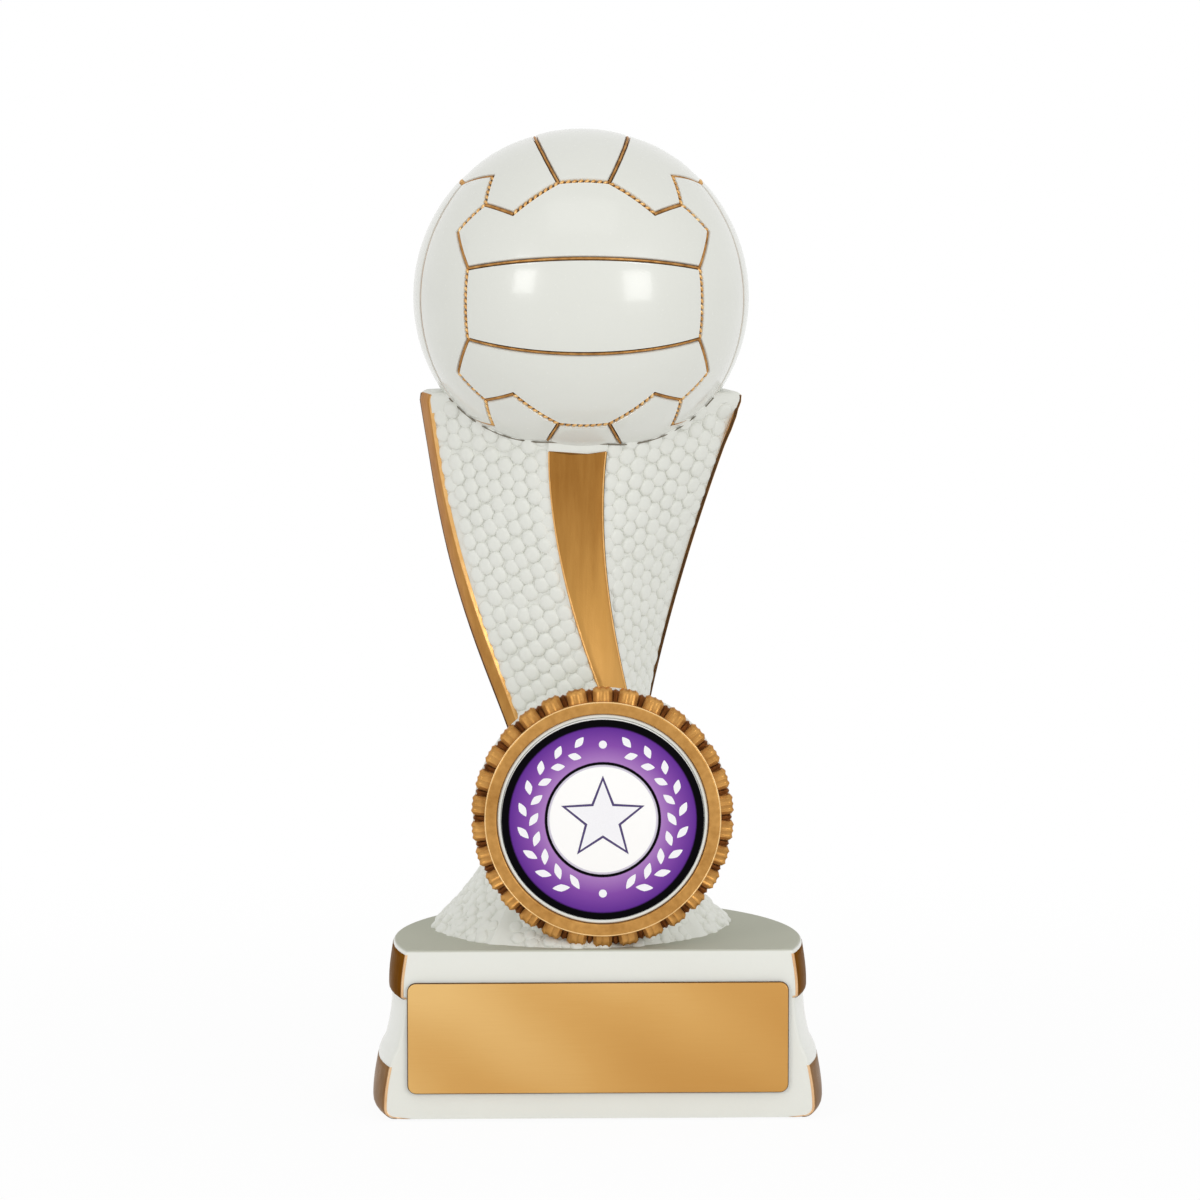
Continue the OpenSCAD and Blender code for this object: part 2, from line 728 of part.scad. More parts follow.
module ball_panel(face, strip) color(white) {
    end_edge = face[2];
    line = strip_line(end_edge);
    seam = seam_line(end_edge, face[3]);
    tip = on_end(middle_seam_shares, 1);
    difference() {
        translate([column_x, 0, ball_z])
            rotate(face[1])
                intersection() {
                    difference() {
                        sphere(ball_r);
                        sphere(core_r);
                    }
                    if (strip == 0) panel_wedge(line, seam);
                    if (strip == 1)
                        panel_wedge(
                            concat([mirrored(tip)], [for (p = line) flipped(p)], [tip]),
                            concat([mirrored(tip)], line, [tip])
                        );
                    if (strip == 2) rotate([0, 0, 180]) panel_wedge(line, seam);
                }
        on_rod(0) cylinder(d = rod_d + rod_gap * 2, h = ball_z);
    }
}

plinth();
upper_moulding();
lower_moulding();
felt_pad();
name_plate();
plate_tape();
column();
for (k = [0:3])
    ribbon(k);
medal_boss();
medal_ring();
insert_disc();
insert_tape();
check_rod();
rod_washer();
rod_nut();
ball_core();
for (f = [0:5], s = [0:2])
    ball_panel(FACES[f], s);
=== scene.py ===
"""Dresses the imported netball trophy: cast resin, gold paint, printed insert and studio.

Lengths are millimetres until a piece is published, which scales its mesh to metres.
"""

from __future__ import annotations

import logging
import math
import random
from collections.abc import Callable, Iterable, Iterator, Sequence
from dataclasses import dataclass
from enum import Enum
from typing import NamedTuple

import bmesh
import bpy
from mathutils import Matrix, Vector

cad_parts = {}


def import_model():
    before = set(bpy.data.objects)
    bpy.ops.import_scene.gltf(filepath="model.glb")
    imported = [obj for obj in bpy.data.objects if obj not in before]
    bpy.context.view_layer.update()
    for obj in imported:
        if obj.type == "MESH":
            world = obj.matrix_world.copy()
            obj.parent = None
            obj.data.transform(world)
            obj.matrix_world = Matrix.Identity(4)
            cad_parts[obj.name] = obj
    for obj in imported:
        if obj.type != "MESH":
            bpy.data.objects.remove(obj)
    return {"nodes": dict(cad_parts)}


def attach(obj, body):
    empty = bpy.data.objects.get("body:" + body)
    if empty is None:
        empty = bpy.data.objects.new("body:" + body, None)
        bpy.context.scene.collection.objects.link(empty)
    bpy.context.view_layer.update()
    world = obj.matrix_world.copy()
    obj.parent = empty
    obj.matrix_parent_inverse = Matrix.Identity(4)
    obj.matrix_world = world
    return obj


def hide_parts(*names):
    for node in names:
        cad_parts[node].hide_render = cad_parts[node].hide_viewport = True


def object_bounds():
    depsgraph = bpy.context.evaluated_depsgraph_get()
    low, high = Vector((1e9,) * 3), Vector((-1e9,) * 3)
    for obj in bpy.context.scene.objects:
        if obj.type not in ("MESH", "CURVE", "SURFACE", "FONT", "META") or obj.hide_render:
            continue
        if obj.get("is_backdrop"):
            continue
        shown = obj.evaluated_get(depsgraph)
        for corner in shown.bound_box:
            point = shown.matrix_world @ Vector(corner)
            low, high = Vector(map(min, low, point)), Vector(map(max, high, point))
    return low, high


LOG = logging.getLogger("netball_trophy")
BODY = "root"
MM = 0.001
MERGE = 0.0005
UP = Vector((0, 0, 1))
AWAY = Vector((0, 1, 0))
Colour = tuple[float, float, float]
Sockets = dict[int | str, object]


def paint(red: int, green: int, blue: int) -> Colour:
    """Turns a screen colour of 0 to 255 a channel into linear light.

    Args:
        red: Level of red.
        green: Level of green.
        blue: Level of blue.

    Returns:
        The three linear levels.
    """

    def linear(level: int) -> float:
        """Turns one channel."""
        share = level / 255
        return share / 12.92 if share <= 0.04045 else ((share + 0.055) / 1.055) ** 2.4

    return (linear(red), linear(green), linear(blue))


def blend_to(start: float, end: float, share: float) -> float:
    """Returns the value at a share of the way from start to end."""
    return start + (end - start) * share


def ease(share: float) -> float:
    """Clamps a share to 0..1 and eases both of its ends."""
    share = min(1.0, max(0.0, share))
    return share * share * (3 - 2 * share)


# Shader graphs


class Wire:
    """A shader socket whose Python operators add Math nodes."""

    def __init__(self, graph: Graph, socket: bpy.types.NodeSocket) -> None:
        """Keeps the socket and the graph that it belongs to."""
        self.graph = graph
        self.socket = socket

    def __add__(self, other: Wire | float) -> Wire:
        """Adds another value."""
        return self.graph.calculate("ADD", self, other)

    def __sub__(self, other: Wire | float) -> Wire:
        """Takes another value away."""
        return self.graph.calculate("SUBTRACT", self, other)

    def __rsub__(self, other: Wire | float) -> Wire:
        """Takes this value away from another."""
        return self.graph.calculate("SUBTRACT", other, self)

    def __mul__(self, other: Wire | float) -> Wire:
        """Multiplies by another value."""
        return self.graph.calculate("MULTIPLY", self, other)

    def __truediv__(self, other: Wire | float) -> Wire:
        """Divides by another value."""
        return self.graph.calculate("DIVIDE", self, other)

    def __pow__(self, other: Wire | float) -> Wire:
        """Raises to a power."""
        return self.graph.calculate("POWER", self, other)

    __radd__ = __add__
    __rmul__ = __mul__

    def above(self, level: float, softness: float) -> Wire:
        """Returns a mask that rises from 0 to 1 over softness, centred on level.

        Args:
            level: The value at which the mask is one half.
            softness: The width of the rise.

        Returns:
            The clamped mask.
        """
        inputs = {0: self, 1: level - softness / 2, 2: level + softness / 2}
        return self.graph.wire("ShaderNodeMapRange", inputs, interpolation_type="SMOOTHSTEP")


class Graph:
    """Builds a node tree for a material or the world."""

    def __init__(self, owner: bpy.types.Material | bpy.types.World) -> None:
        """Gives the owner an empty node tree.

        Args:
            owner: What the tree belongs to.
        """
        owner.use_nodes = True
        self.tree = owner.node_tree
        self.tree.nodes.clear()

    def node(self, kind: str, inputs: Sockets | None = None, **settings: object) -> bpy.types.Node:
        """Adds a node, sets its settings and then its sockets.

        Args:
            kind: The node's type name.
            inputs: Values or wires by socket name or number.
            **settings: Values of the node's own settings; stops fills a colour ramp.

        Returns:
            The new node.
        """
        made = self.tree.nodes.new(kind)
        for name, value in settings.items():
            if name == "stops":
                self._fill_ramp(made.color_ramp.elements, value)
            else:
                setattr(made, name, value)
        for key, value in (inputs or {}).items():
            if isinstance(value, Wire):
                self.tree.links.new(value.socket, made.inputs[key])
            else:
                made.inputs[key].default_value = value
        return made

    def wire(
        self, kind: str, inputs: Sockets | None = None, output: int | str = 0, **settings: object
    ) -> Wire:
        """Adds a node as node() does and returns one of its outputs."""
        return Wire(self, self.node(kind, inputs, **settings).outputs[output])

    @staticmethod
    def _fill_ramp(elements: bpy.types.ColorRampElements, stops: Sequence[tuple[float, Colour]]) -> None:
        """Gives a colour ramp its stops.

        Args:
            elements: The ramp's own stops.
            stops: The place and the colour of each stop, in rising order.
        """
        while len(elements) < len(stops):
            elements.new(1.0)
        for element, (place, colour) in zip(elements, stops):
            element.position = place
            element.color = (*colour, 1.0)

    def calculate(self, operation: str, *values: Wire | float) -> Wire:
        """Adds one Math node over its operands."""
        return self.wire("ShaderNodeMath", dict(enumerate(values)), operation=operation)

    def millimetres(self, centre: Sequence[float] = (0, 0, 0), stretch: Sequence[float] = (1, 1, 1)) -> Wire:
        """Returns the object coordinates in millimetres from a centre.

        Args:
            centre: The point, in millimetres, that becomes the origin.
            stretch: A factor for each axis.

        Returns:
            The coordinates as a vector wire.
        """
        source = self.wire("ShaderNodeTexCoord", output="Object")
        scale = [factor / MM for factor in stretch]
        place = [-c * factor for c, factor in zip(centre, stretch)]
        return self.wire("ShaderNodeMapping", {"Vector": source, "Location": place, "Scale": scale})

    def axes(self, point: Wire) -> tuple[Wire, Wire, Wire]:
        """Splits a vector wire into its three parts."""
        made = self.node("ShaderNodeSeparateXYZ", {0: point})
        return tuple(Wire(self, made.outputs[i]) for i in range(3))

    def noise(self, point: Wire, scale: float, detail: float = 3.0, roughness: float = 0.5) -> Wire:
        """Returns a noise value of 0..1 at a number of cells a millimetre."""
        inputs = {"Vector": point, "Scale": scale, "Detail": detail, "Roughness": roughness}
        return self.wire("ShaderNodeTexNoise", inputs)

    def ramp(self, value: Wire, stops: Sequence[tuple[float, Colour]]) -> Wire:
        """Returns the colour that a ramp of rising stops gives a value."""
        return self.wire("ShaderNodeValToRGB", {0: value}, stops=stops)

    def mix(self, share: Wire | float, first: Wire | Colour, second: Wire | Colour) -> Wire:
        """Mixes two colours by a share.

        Args:
            share: Share of the second colour.
            first: A colour.
            second: The other colour.

        Returns:
            The mixed colour.
        """
        inputs = {0: share}
        for place, value in ((6, first), (7, second)):
            inputs[place] = value if isinstance(value, Wire) else (*value, 1.0)
        return self.wire("ShaderNodeMix", inputs, 2, data_type="RGBA")

    def bump(self, height: Wire, depth: float) -> Wire:
        """Returns the normal of a height map whose full depth is in millimetres."""
        return self.wire("ShaderNodeBump", {"Height": height, "Distance": depth * MM, "Strength": 1.0})


@dataclass(frozen=True)
class Finish:
    """A named finish: a material, and the record's slot that it stands for."""

    name: str
    slot: str

    def material(self) -> bpy.types.Material:
        """Returns the finish's material, made on its first use.

        Returns:
            The material.
        """
        found = bpy.data.materials.get(self.name)
        if found:
            return found
        made = bpy.data.materials.new(self.name)
        graph = Graph(made)
        shader = graph.wire("ShaderNodeBsdfPrincipled", self.sockets(graph))
        graph.node("ShaderNodeOutputMaterial", {"Surface": shader})
        return made

    def sockets(self, graph: Graph) -> Sockets:
        """Returns the shader's socket values, with their nodes in the graph."""
        raise NotImplementedError


# Colour of the painted shade on the plinth's top face.
TOP_PAINTED_SHADE = paint(184, 185, 170)
GOLD_TINT = paint(212, 160, 92)


@dataclass(frozen=True)
class CastResin(Finish):
    """White casting resin under a clear coat, a little uneven in tone."""

    colour: Colour
    shade: Colour
    roughness: float
    coat: float
    ripple: float
    gloss: float
    top_z: float | None = None

    def sockets(self, graph: Graph) -> Sockets:
        """Adds cloudy tone, small flow ripples, fine pits and painted shade that greys the top face.

        Args:
            graph: The material's graph.

        Returns:
            The shader's socket values.
        """
        point = graph.millimetres()
        cloud = graph.noise(point, 0.09, 2.0)
        pits = graph.noise(point, 2.6, 4.0, 0.6)
        ripple = graph.noise(point, 0.45, 2.0)
        colour = graph.mix(cloud * 0.7 + pits * 0.3, self.shade, self.colour)
        roughness, coat = self.roughness + (pits - 0.5) * 0.08, self.coat
        # Painted shade: above a height the colour turns to the top's grey, rougher and without coat.
        if self.top_z is not None:
            level = graph.axes(point)[2].above(self.top_z, 0.3)
            colour = graph.mix(level, colour, TOP_PAINTED_SHADE)
            roughness = roughness + level * 0.5
            coat = (1 - level) * self.coat
        return {
            "Base Color": colour,
            "Roughness": roughness,
            "Coat Weight": coat,
            "Coat Roughness": 0.1,
            "Specular IOR Level": self.gloss,
            "Normal": graph.bump(ripple + pits * 0.12, self.ripple),
        }


@dataclass(frozen=True)
class GoldPaint(Finish):
    """Metallic gold paint: brushed streaks, darker pools, and, where a fade is given, painted shade that
    deepens upwards.
    """

    light: Colour
    middle: Colour
    dark: Colour
    pool: float
    roughness: float
    metal: float = 0.55
    grain: tuple[float, float, float] = (1, 1, 1)
    fade: tuple[float, float] | None = None
    tint: Colour = GOLD_TINT

    def sockets(self, graph: Graph) -> Sockets:
        """Adds cloudy pools, streaks along the grain, pigment flakes and, where a fade is given, painted
        shade that darkens upwards.

        Args:
            graph: The material's graph.

        Returns:
            The shader's socket values.
        """
        streaks = graph.noise(graph.millimetres(stretch=self.grain), 1.1, 4.0, 0.55)
        cloud = graph.noise(graph.millimetres(), 0.16, 3.0)
        flakes = graph.noise(graph.millimetres(), 7.0, 2.0)
        stops = [(0.28, self.dark), (0.5, self.middle), (0.72, self.light)]
        tone = cloud * self.pool + streaks * (1 - self.pool)
        # Painted shade: the tone darkens with height over the fade's span.
        if self.fade is not None:
            low, high = self.fade
            height = graph.axes(graph.millimetres())[2]
            tone = (tone - 0.5) * 0.28 + 0.72 - height.above((low + high) / 2, high - low) * 0.42
        return {
            "Base Color": graph.ramp(tone, stops),
            "Metallic": self.metal,
            "Specular IOR Level": 0.25,
            "Specular Tint": (*self.tint, 1.0),
            "Roughness": self.roughness + (0.5 - tone) * 0.3,
            "Normal": graph.bump(streaks + flakes * 0.35, 0.03),
        }


@dataclass(frozen=True)
class SatinPlate(Finish):
    """Gold anodised sheet, brushed across, with a painted reflection that pales it towards its upper left
    corner and a paler diagonal band.
    """

    pale: Colour
    middle: Colour
    deep: Colour
    centre: tuple[float, float, float]
    reach: float

    def sockets(self, graph: Graph) -> Sockets:
        """Adds the diagonal tone and band of painted reflection, and a fine horizontal brushing.

        Args:
            graph: The material's graph.

        Returns:
            The shader's socket values.
        """
        x, _, z = graph.axes(graph.millimetres(self.centre))
        brushed = graph.noise(graph.millimetres(stretch=(0.12, 1, 5)), 1.6, 4.0, 0.6)
        cloud = graph.noise(graph.millimetres(), 0.07, 1.0)
        # Painted reflection: a diagonal ramp and a sine band of paler gold.
        reflection_slope = (x - z * 1.4) / (self.reach * 2) + 0.5
        across = graph.calculate("SINE", (x * 0.42 + z * 0.62) * 0.55 + 1.1)
        tone = reflection_slope + across * 0.17 + (cloud - 0.5) * 0.4 + (brushed - 0.5) * 0.16
        stops = [(0.0, self.pale), (0.5, self.middle), (0.95, self.deep)]
        return {
            "Base Color": graph.ramp(tone, stops),
            "Metallic": 0.35,
            "Roughness": 0.34 + (brushed - 0.5) * 0.2,
            "Normal": graph.bump(brushed, 0.006),
        }


@dataclass(frozen=True)
class PrintedDisc(Finish):
    """Printed rings under a clear film: a black rim, a shaded annulus and a pale centre."""

    centre: tuple[float, float, float]
    radius: float
    rim: float
    inner: float
    line: float

    def sockets(self, graph: Graph) -> Sockets:
        """Adds the rings by distance from the disc's centre, with fine print grain.

        Args:
            graph: The material's graph.

        Returns:
            The shader's socket values.
        """
        x, _, z = graph.axes(graph.millimetres(self.centre))
        distance = (x * x + z * z) ** 0.5
        share = distance / self.radius
        dots = graph.noise(graph.millimetres(), 5.0, 1.0)
        black, white = paint(3, 2, 5), paint(253, 252, 250)
        inner, outer = self.inner / self.radius, self.rim / self.radius
        line = self.line / self.radius
        rings = [
            (0.0, white),
            (inner - line * 2.2, white),
            (inner - line * 1.8, paint(206, 200, 214)),
            (inner - line, paint(206, 200, 214)),
            (inner - line * 0.8, black),
            (inner + line * 0.6, black),
            (inner + line * 0.9, paint(172, 126, 192)),
            ((inner + outer) / 2, paint(134, 78, 168)),
            (outer - 0.012, paint(100, 50, 148)),
            (outer + 0.004, black),
            (0.996, black),
            (0.999, paint(236, 236, 234)),
        ]
        drift = share + (dots - 0.5) * 0.004 + z * 0.0008
        return {
            "Base Color": graph.ramp(drift, rings),
            "Roughness": 0.22 + (dots - 0.5) * 0.05,
            "Specular IOR Level": 0.04,
            "Normal": graph.bump(graph.noise(graph.millimetres(), 0.6, 1.0), 0.01),
        }


@dataclass(frozen=True)
class Fibre(Finish):
    """Dense matted fibre, such as felt."""

    light: Colour
    dark: Colour

    def sockets(self, graph: Graph) -> Sockets:
        """Adds crossing fibres in tone and relief.

        Args:
            graph: The material's graph.

        Returns:
            The shader's socket values.
        """
        along = graph.noise(graph.millimetres(stretch=(0.5, 3, 3)), 1.6, 5.0, 0.7)
        across = graph.noise(graph.millimetres(stretch=(3, 0.5, 3)), 1.6, 5.0, 0.7)
        tone = (along + across) / 2
        return {
            "Base Color": graph.mix(tone.above(0.5, 0.3), self.dark, self.light),
            "Roughness": 0.94,
            "Sheen Weight": 0.3,
            "Normal": graph.bump(tone, 0.25),
        }


@dataclass(frozen=True)
class Metal(Finish):
    """Bare or plated metal with turning marks."""

    light: Colour
    dark: Colour
    roughness: float

    def sockets(self, graph: Graph) -> Sockets:
        """Adds fine marks round the piece's upright axis.

        Args:
            graph: The material's graph.

        Returns:
            The shader's socket values.
        """
        marks = graph.noise(graph.millimetres(stretch=(0.2, 0.2, 6)), 1.5, 4.0)
        return {
            "Base Color": graph.mix(marks, self.dark, self.light),
            "Metallic": 1.0,
            "Roughness": self.roughness + (marks - 0.5) * 0.2,
            "Normal": graph.bump(marks, 0.01),
        }


@dataclass(frozen=True)
class Foam(Finish):
    """Pale double-sided adhesive foam."""

    colour: Colour

    def sockets(self, graph: Graph) -> Sockets:
        """Adds small cells.

        Args:
            graph: The material's graph.

        Returns:
            The shader's socket values.
        """
        cells = graph.noise(graph.millimetres(), 4.0, 2.0)
        darker = tuple(level * 0.8 for level in self.colour)
        return {
            "Base Color": graph.mix(cells, darker, self.colour),
            "Roughness": 0.85,
            "Normal": graph.bump(cells, 0.05),
        }


@dataclass(frozen=True)
class Ink(Finish):
    """Flat printed ink under a clear film."""

    colour: Colour

    def sockets(self, graph: Graph) -> Sockets:
        """Adds the print's fine grain.

        Args:
            graph: The material's graph.

        Returns:
            The shader's socket values.
        """
        grain = graph.noise(graph.millimetres(), 6.0, 1.0)
        darker = tuple(level * 0.92 for level in self.colour)
        return {
            "Base Color": graph.mix(grain, darker, self.colour),
            "Roughness": 0.3 + (grain - 0.5) * 0.06,
            "Coat Weight": 0.5,
            "Normal": graph.bump(grain, 0.004),
        }


RESIN = CastResin(
    "resin_white", "white_resin", paint(232, 233, 226), paint(222, 223, 215),
    roughness=0.44, coat=0.04, ripple=0.05, gloss=0.28,
)
PLINTH_WHITE = CastResin(
    "resin_plinth", "white_resin", paint(233, 234, 227), paint(226, 227, 219),
    roughness=0.34, coat=0.4, ripple=0.04, gloss=0.2, top_z=21.2,
)
BALL_WHITE = CastResin(
    "ball_lacquer", "ball_gloss", paint(226, 227, 220), paint(220, 221, 213),
    roughness=0.26, coat=0.5, ripple=0.02, gloss=0.4,
)
# Dark resin for the cord of painted shadow where the ball meets the column.
SHADOW_CORD = CastResin(
    "contact_shade", "white_resin", paint(150, 144, 130), paint(96, 88, 74),
    roughness=0.6, coat=0.0, ripple=0.04, gloss=0.2,
)
GOLD_PAINT = GoldPaint(
    "gilt_paint", "gold_paint", paint(198, 149, 83), paint(180, 130, 66), paint(163, 113, 54),
    pool=0.5, roughness=0.38, metal=0.5, grain=(1, 1, 0.3),
)
# The front ribbon's gold darkens upwards with painted shade.
RIBBON_GOLD = GoldPaint(
    "gilt_ribbon", "gold_paint", paint(211, 160, 91), paint(190, 141, 74), paint(152, 104, 47),
    pool=0.3, roughness=0.34, metal=0.5, grain=(1, 1, 0.12), fade=(44.0, 82.0),
)
RING_GOLD = GoldPaint(
    "gilt_ring", "gold_paint", paint(214, 162, 92), paint(190, 140, 76), paint(160, 112, 54),
    pool=0.5, roughness=0.34,
)
RING_DARK = GoldPaint(
    "gilt_groove", "gold_paint", paint(158, 106, 56), paint(118, 74, 38), paint(76, 46, 22),
    pool=0.3, roughness=0.45,
)
# Pale gold for the painted highlight bead round the ring's face.
RING_HIGHLIGHT = GoldPaint(
    "gilt_ring_edge", "gold_paint", paint(246, 214, 160), paint(238, 200, 140), paint(214, 170, 108),
    pool=0.5, roughness=0.3,
)
# The bands' gold is a darker copy of the gold paint: painted shade for the dark reflections on the plinth's
# sides. The upper band's copy is darker still, with more painted shade.
BAND_SHADE_GOLD = GoldPaint(
    "gilt_band", "gold_paint", paint(158, 118, 79), paint(142, 103, 66), paint(121, 87, 55),
    pool=0.6, roughness=0.3, metal=1.0, grain=(1, 1, 0.4), tint=paint(206, 198, 188),
)
UPPER_BAND_SHADE = GoldPaint(
    "gilt_upper_band", "gold_paint", paint(142, 101, 60), paint(128, 88, 49), paint(109, 74, 40),
    pool=0.6, roughness=0.34, metal=1.0, grain=(1, 1, 0.4), tint=paint(176, 160, 140),
)
# Pale gold for the painted highlight on the bands' rounded front corners.
BAND_HIGHLIGHT = GoldPaint(
    "gilt_band_line", "gold_paint", paint(240, 208, 168), paint(228, 186, 140), paint(190, 140, 92),
    pool=0.3, roughness=0.3, metal=0.6, grain=(1, 1, 0.2), tint=paint(240, 226, 206),
)
# Pale gold for the painted highlight lines along the ribbons' borders.
RIBBON_HIGHLIGHT = GoldPaint(
    "gilt_lit_edge", "gold_paint", paint(238, 192, 128), paint(224, 174, 108), paint(196, 146, 84),
    pool=0.5, roughness=0.32,
)
# Dark brown for painted shadow: lines along the ribbons' borders and the rim round the name plate.
EDGE_SHADOW = GoldPaint(
    "gilt_edge", "gold_paint", paint(112, 78, 46), paint(84, 58, 34), paint(62, 42, 26),
    pool=0.4, roughness=0.5, metal=0.2,
)
SEAM_DARK = GoldPaint(
    "groove_gold", "seam_gold", paint(150, 98, 44), paint(112, 70, 32), paint(72, 42, 18),
    pool=0.4, roughness=0.45,
)
ROPE_GOLD = GoldPaint(
    "rope_gilt", "seam_gold", paint(250, 222, 168), paint(222, 172, 106), paint(162, 112, 60),
    pool=0.1, roughness=0.26, tint=paint(240, 216, 176),
)
CORD_GOLD = GoldPaint(
    "cord_gilt", "seam_gold", paint(214, 166, 104), paint(178, 128, 72), paint(122, 80, 40),
    pool=0.3, roughness=0.34, tint=paint(230, 196, 150),
)
FELT = Fibre("felt_green", "felt", paint(74, 90, 82), paint(42, 52, 47))
STEEL = Metal("zinc_steel", "steel", paint(196, 196, 198), paint(150, 150, 154), 0.35)
FOAM = Foam("tape_foam", "adhesive_pad", paint(232, 232, 226))


# Meshes


def to_data(mesh: bmesh.types.BMesh, name: str) -> bpy.types.Mesh:
    """Turns a mesh into named mesh data and frees it.

    Args:
        mesh: The mesh.
        name: The data's name.

    Returns:
        The mesh data.
    """
    data = bpy.data.meshes.new(name)
    mesh.to_mesh(data)
    mesh.free()
    return data


def hang(name: str, data: bpy.types.ID) -> bpy.types.Object:
    """Adds an object that carries the data to the scene.

    Args:
        name: The object's name.
        data: What it carries.

    Returns:
        The new object.
    """
    made = bpy.data.objects.new(name, data)
    bpy.context.scene.collection.objects.link(made)
    return made


@dataclass(frozen=True)
class Piece:
    """A finished piece: its name, its finish and the solids that it stands for."""

    name: str
    finish: Finish
    nodes: tuple[str, ...] = ()
    crease: float = 32.0

    def publish(self, mesh: bmesh.types.BMesh, turn_faces: bool = True) -> bpy.types.Object:
        """Turns a mesh in millimetres into a shown piece that rides on the trophy.

        Args:
            mesh: The mesh, which is freed.
            turn_faces: Whether the faces are turned outwards first.

        Returns:
            The new object, at the origin.
        """
        bmesh.ops.remove_doubles(mesh, verts=mesh.verts, dist=MERGE)
        if turn_faces:
            bmesh.ops.recalc_face_normals(mesh, faces=mesh.faces)
        bmesh.ops.scale(mesh, vec=Vector((MM, MM, MM)), verts=mesh.verts)
        data = to_data(mesh, self.name)
        data.shade_smooth()
        data.set_sharp_from_angle(angle=math.radians(self.crease))
        data.materials.append(self.finish.material())
        made = hang(self.name, data)
        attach(made, BODY)
        if self.nodes:
            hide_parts(*self.nodes)
        LOG.info("%s: %d faces", self.name, len(data.polygons))
        return made


def chain(mesh: bmesh.types.BMesh, points: Iterable[Sequence[float]]) -> list:
    """Adds a line of joined points and returns its vertices and edges.

    Args:
        mesh: The mesh to add to.
        points: The places, in order.

    Returns:
        The vertices, then the edges.
    """
    verts = [mesh.verts.new(point) for point in points]
    edges = [mesh.edges.new(pair) for pair in zip(verts, verts[1:])]
    return verts + edges


def arc(
    centre: Sequence[float], radius: float, start: float, end: float, steps: int
) -> list[tuple[float, float]]:
    """Returns points on an arc in a plane, with its angles in degrees."""
    turns = [math.radians(blend_to(start, end, i / steps)) for i in range(steps + 1)]
    return [(centre[0] + radius * math.cos(a), centre[1] + radius * math.sin(a)) for a in turns]


def flow(
    start: Sequence[float], end: Sequence[float], steps: int, growth: Callable[[float], float]
) -> list[tuple[float, float]]:
    """Returns the points after a start, up to an end, of a line with even steps in its second number.

    Args:
        start: The pair of numbers that the line leaves.
        end: The pair of numbers that it reaches.
        steps: The number of points.
        growth: Gives the first number's share of its way for the second number's share.

    Returns:
        The points.
    """
    shares = [i / steps for i in range(1, steps + 1)]
    return [
        (blend_to(start[0], end[0], growth(share)), blend_to(start[1], end[1], share)) for share in shares
    ]


def quarter_sine(share: float) -> float:
    """Rises steeply from 0 and comes level at 1."""
    return math.sin(math.pi / 2 * share)


def keep_verts(geometry: Iterable) -> list[bmesh.types.BMVert]:
    """Picks the vertices out of an operator's result."""
    return [item for item in geometry if isinstance(item, bmesh.types.BMVert)]


def keep_edges(geometry: Iterable) -> list[bmesh.types.BMEdge]:
    """Picks the edges out of an operator's result."""
    return [item for item in geometry if isinstance(item, bmesh.types.BMEdge)]


def cut(mesh: bmesh.types.BMesh, place: Sequence[float], normal: Sequence[float], clear: bool = True) -> None:
    """Cuts a mesh along a plane.

    Args:
        mesh: The mesh.
        place: A point of the plane.
        normal: The plane's normal.
        clear: Whether what lies that way is cleared and the cut capped.
    """
    bmesh.ops.bisect_plane(
        mesh,
        geom=mesh.verts[:] + mesh.edges[:] + mesh.faces[:],
        plane_co=Vector(place),
        plane_no=Vector(normal),
        clear_outer=clear,
    )
    if clear:
        bmesh.ops.holes_fill(mesh, edges=mesh.edges, sides=0)


def round_edges(
    mesh: bmesh.types.BMesh,
    edges: Sequence[bmesh.types.BMEdge],
    radius: float,
    steps: int,
    clamp: bool = False,
) -> None:
    """Rounds edges of a mesh.

    Args:
        mesh: The mesh.
        edges: The edges to round.
        radius: Their radius.
        steps: The number of faces across the rounding.
        clamp: Whether the radius shrinks where roundings would meet.
    """
    bmesh.ops.bevel(
        mesh,
        geom=edges,
        offset=radius,
        segments=steps,
        profile=0.5,
        affect="EDGES",
        clamp_overlap=clamp,
        material=-1,
    )


def box(size: Vector) -> bmesh.types.BMesh:
    """Returns a box of a size, centred on the origin.

    Args:
        size: Width, depth and height.

    Returns:
        The closed mesh.
    """
    mesh = bmesh.new()
    bmesh.ops.create_cube(mesh, size=1.0)
    bmesh.ops.scale(mesh, vec=size, verts=mesh.verts)
    return mesh


def face_towards(mesh: bmesh.types.BMesh, way: Vector) -> bmesh.types.BMFace:
    """Returns the face that looks most in a direction, and of such faces the furthest one."""
    return max(mesh.faces, key=lambda face: face.calc_center_median().dot(way) + face.normal.dot(way) * 100)


def sweep(
    mesh: bmesh.types.BMesh,
    items: Sequence,
    centre: Sequence[float],
    axis: Vector,
    steps: int,
    angle: float = math.tau,
    **settings: bool,
) -> list:
    """Spins a part of a mesh about an axis.

    Args:
        mesh: The mesh.
        items: The part's vertices, edges and faces.
        centre: A point of the axis.
        axis: The axis's direction.
        steps: The number of steps.
        angle: The turn.
        **settings: Further settings of the spin.

    Returns:
        The last step's vertices, edges and faces.
    """
    return bmesh.ops.spin(
        mesh, geom=items, cent=Vector(centre), axis=axis, angle=angle, steps=steps, **settings
    )["geom_last"]


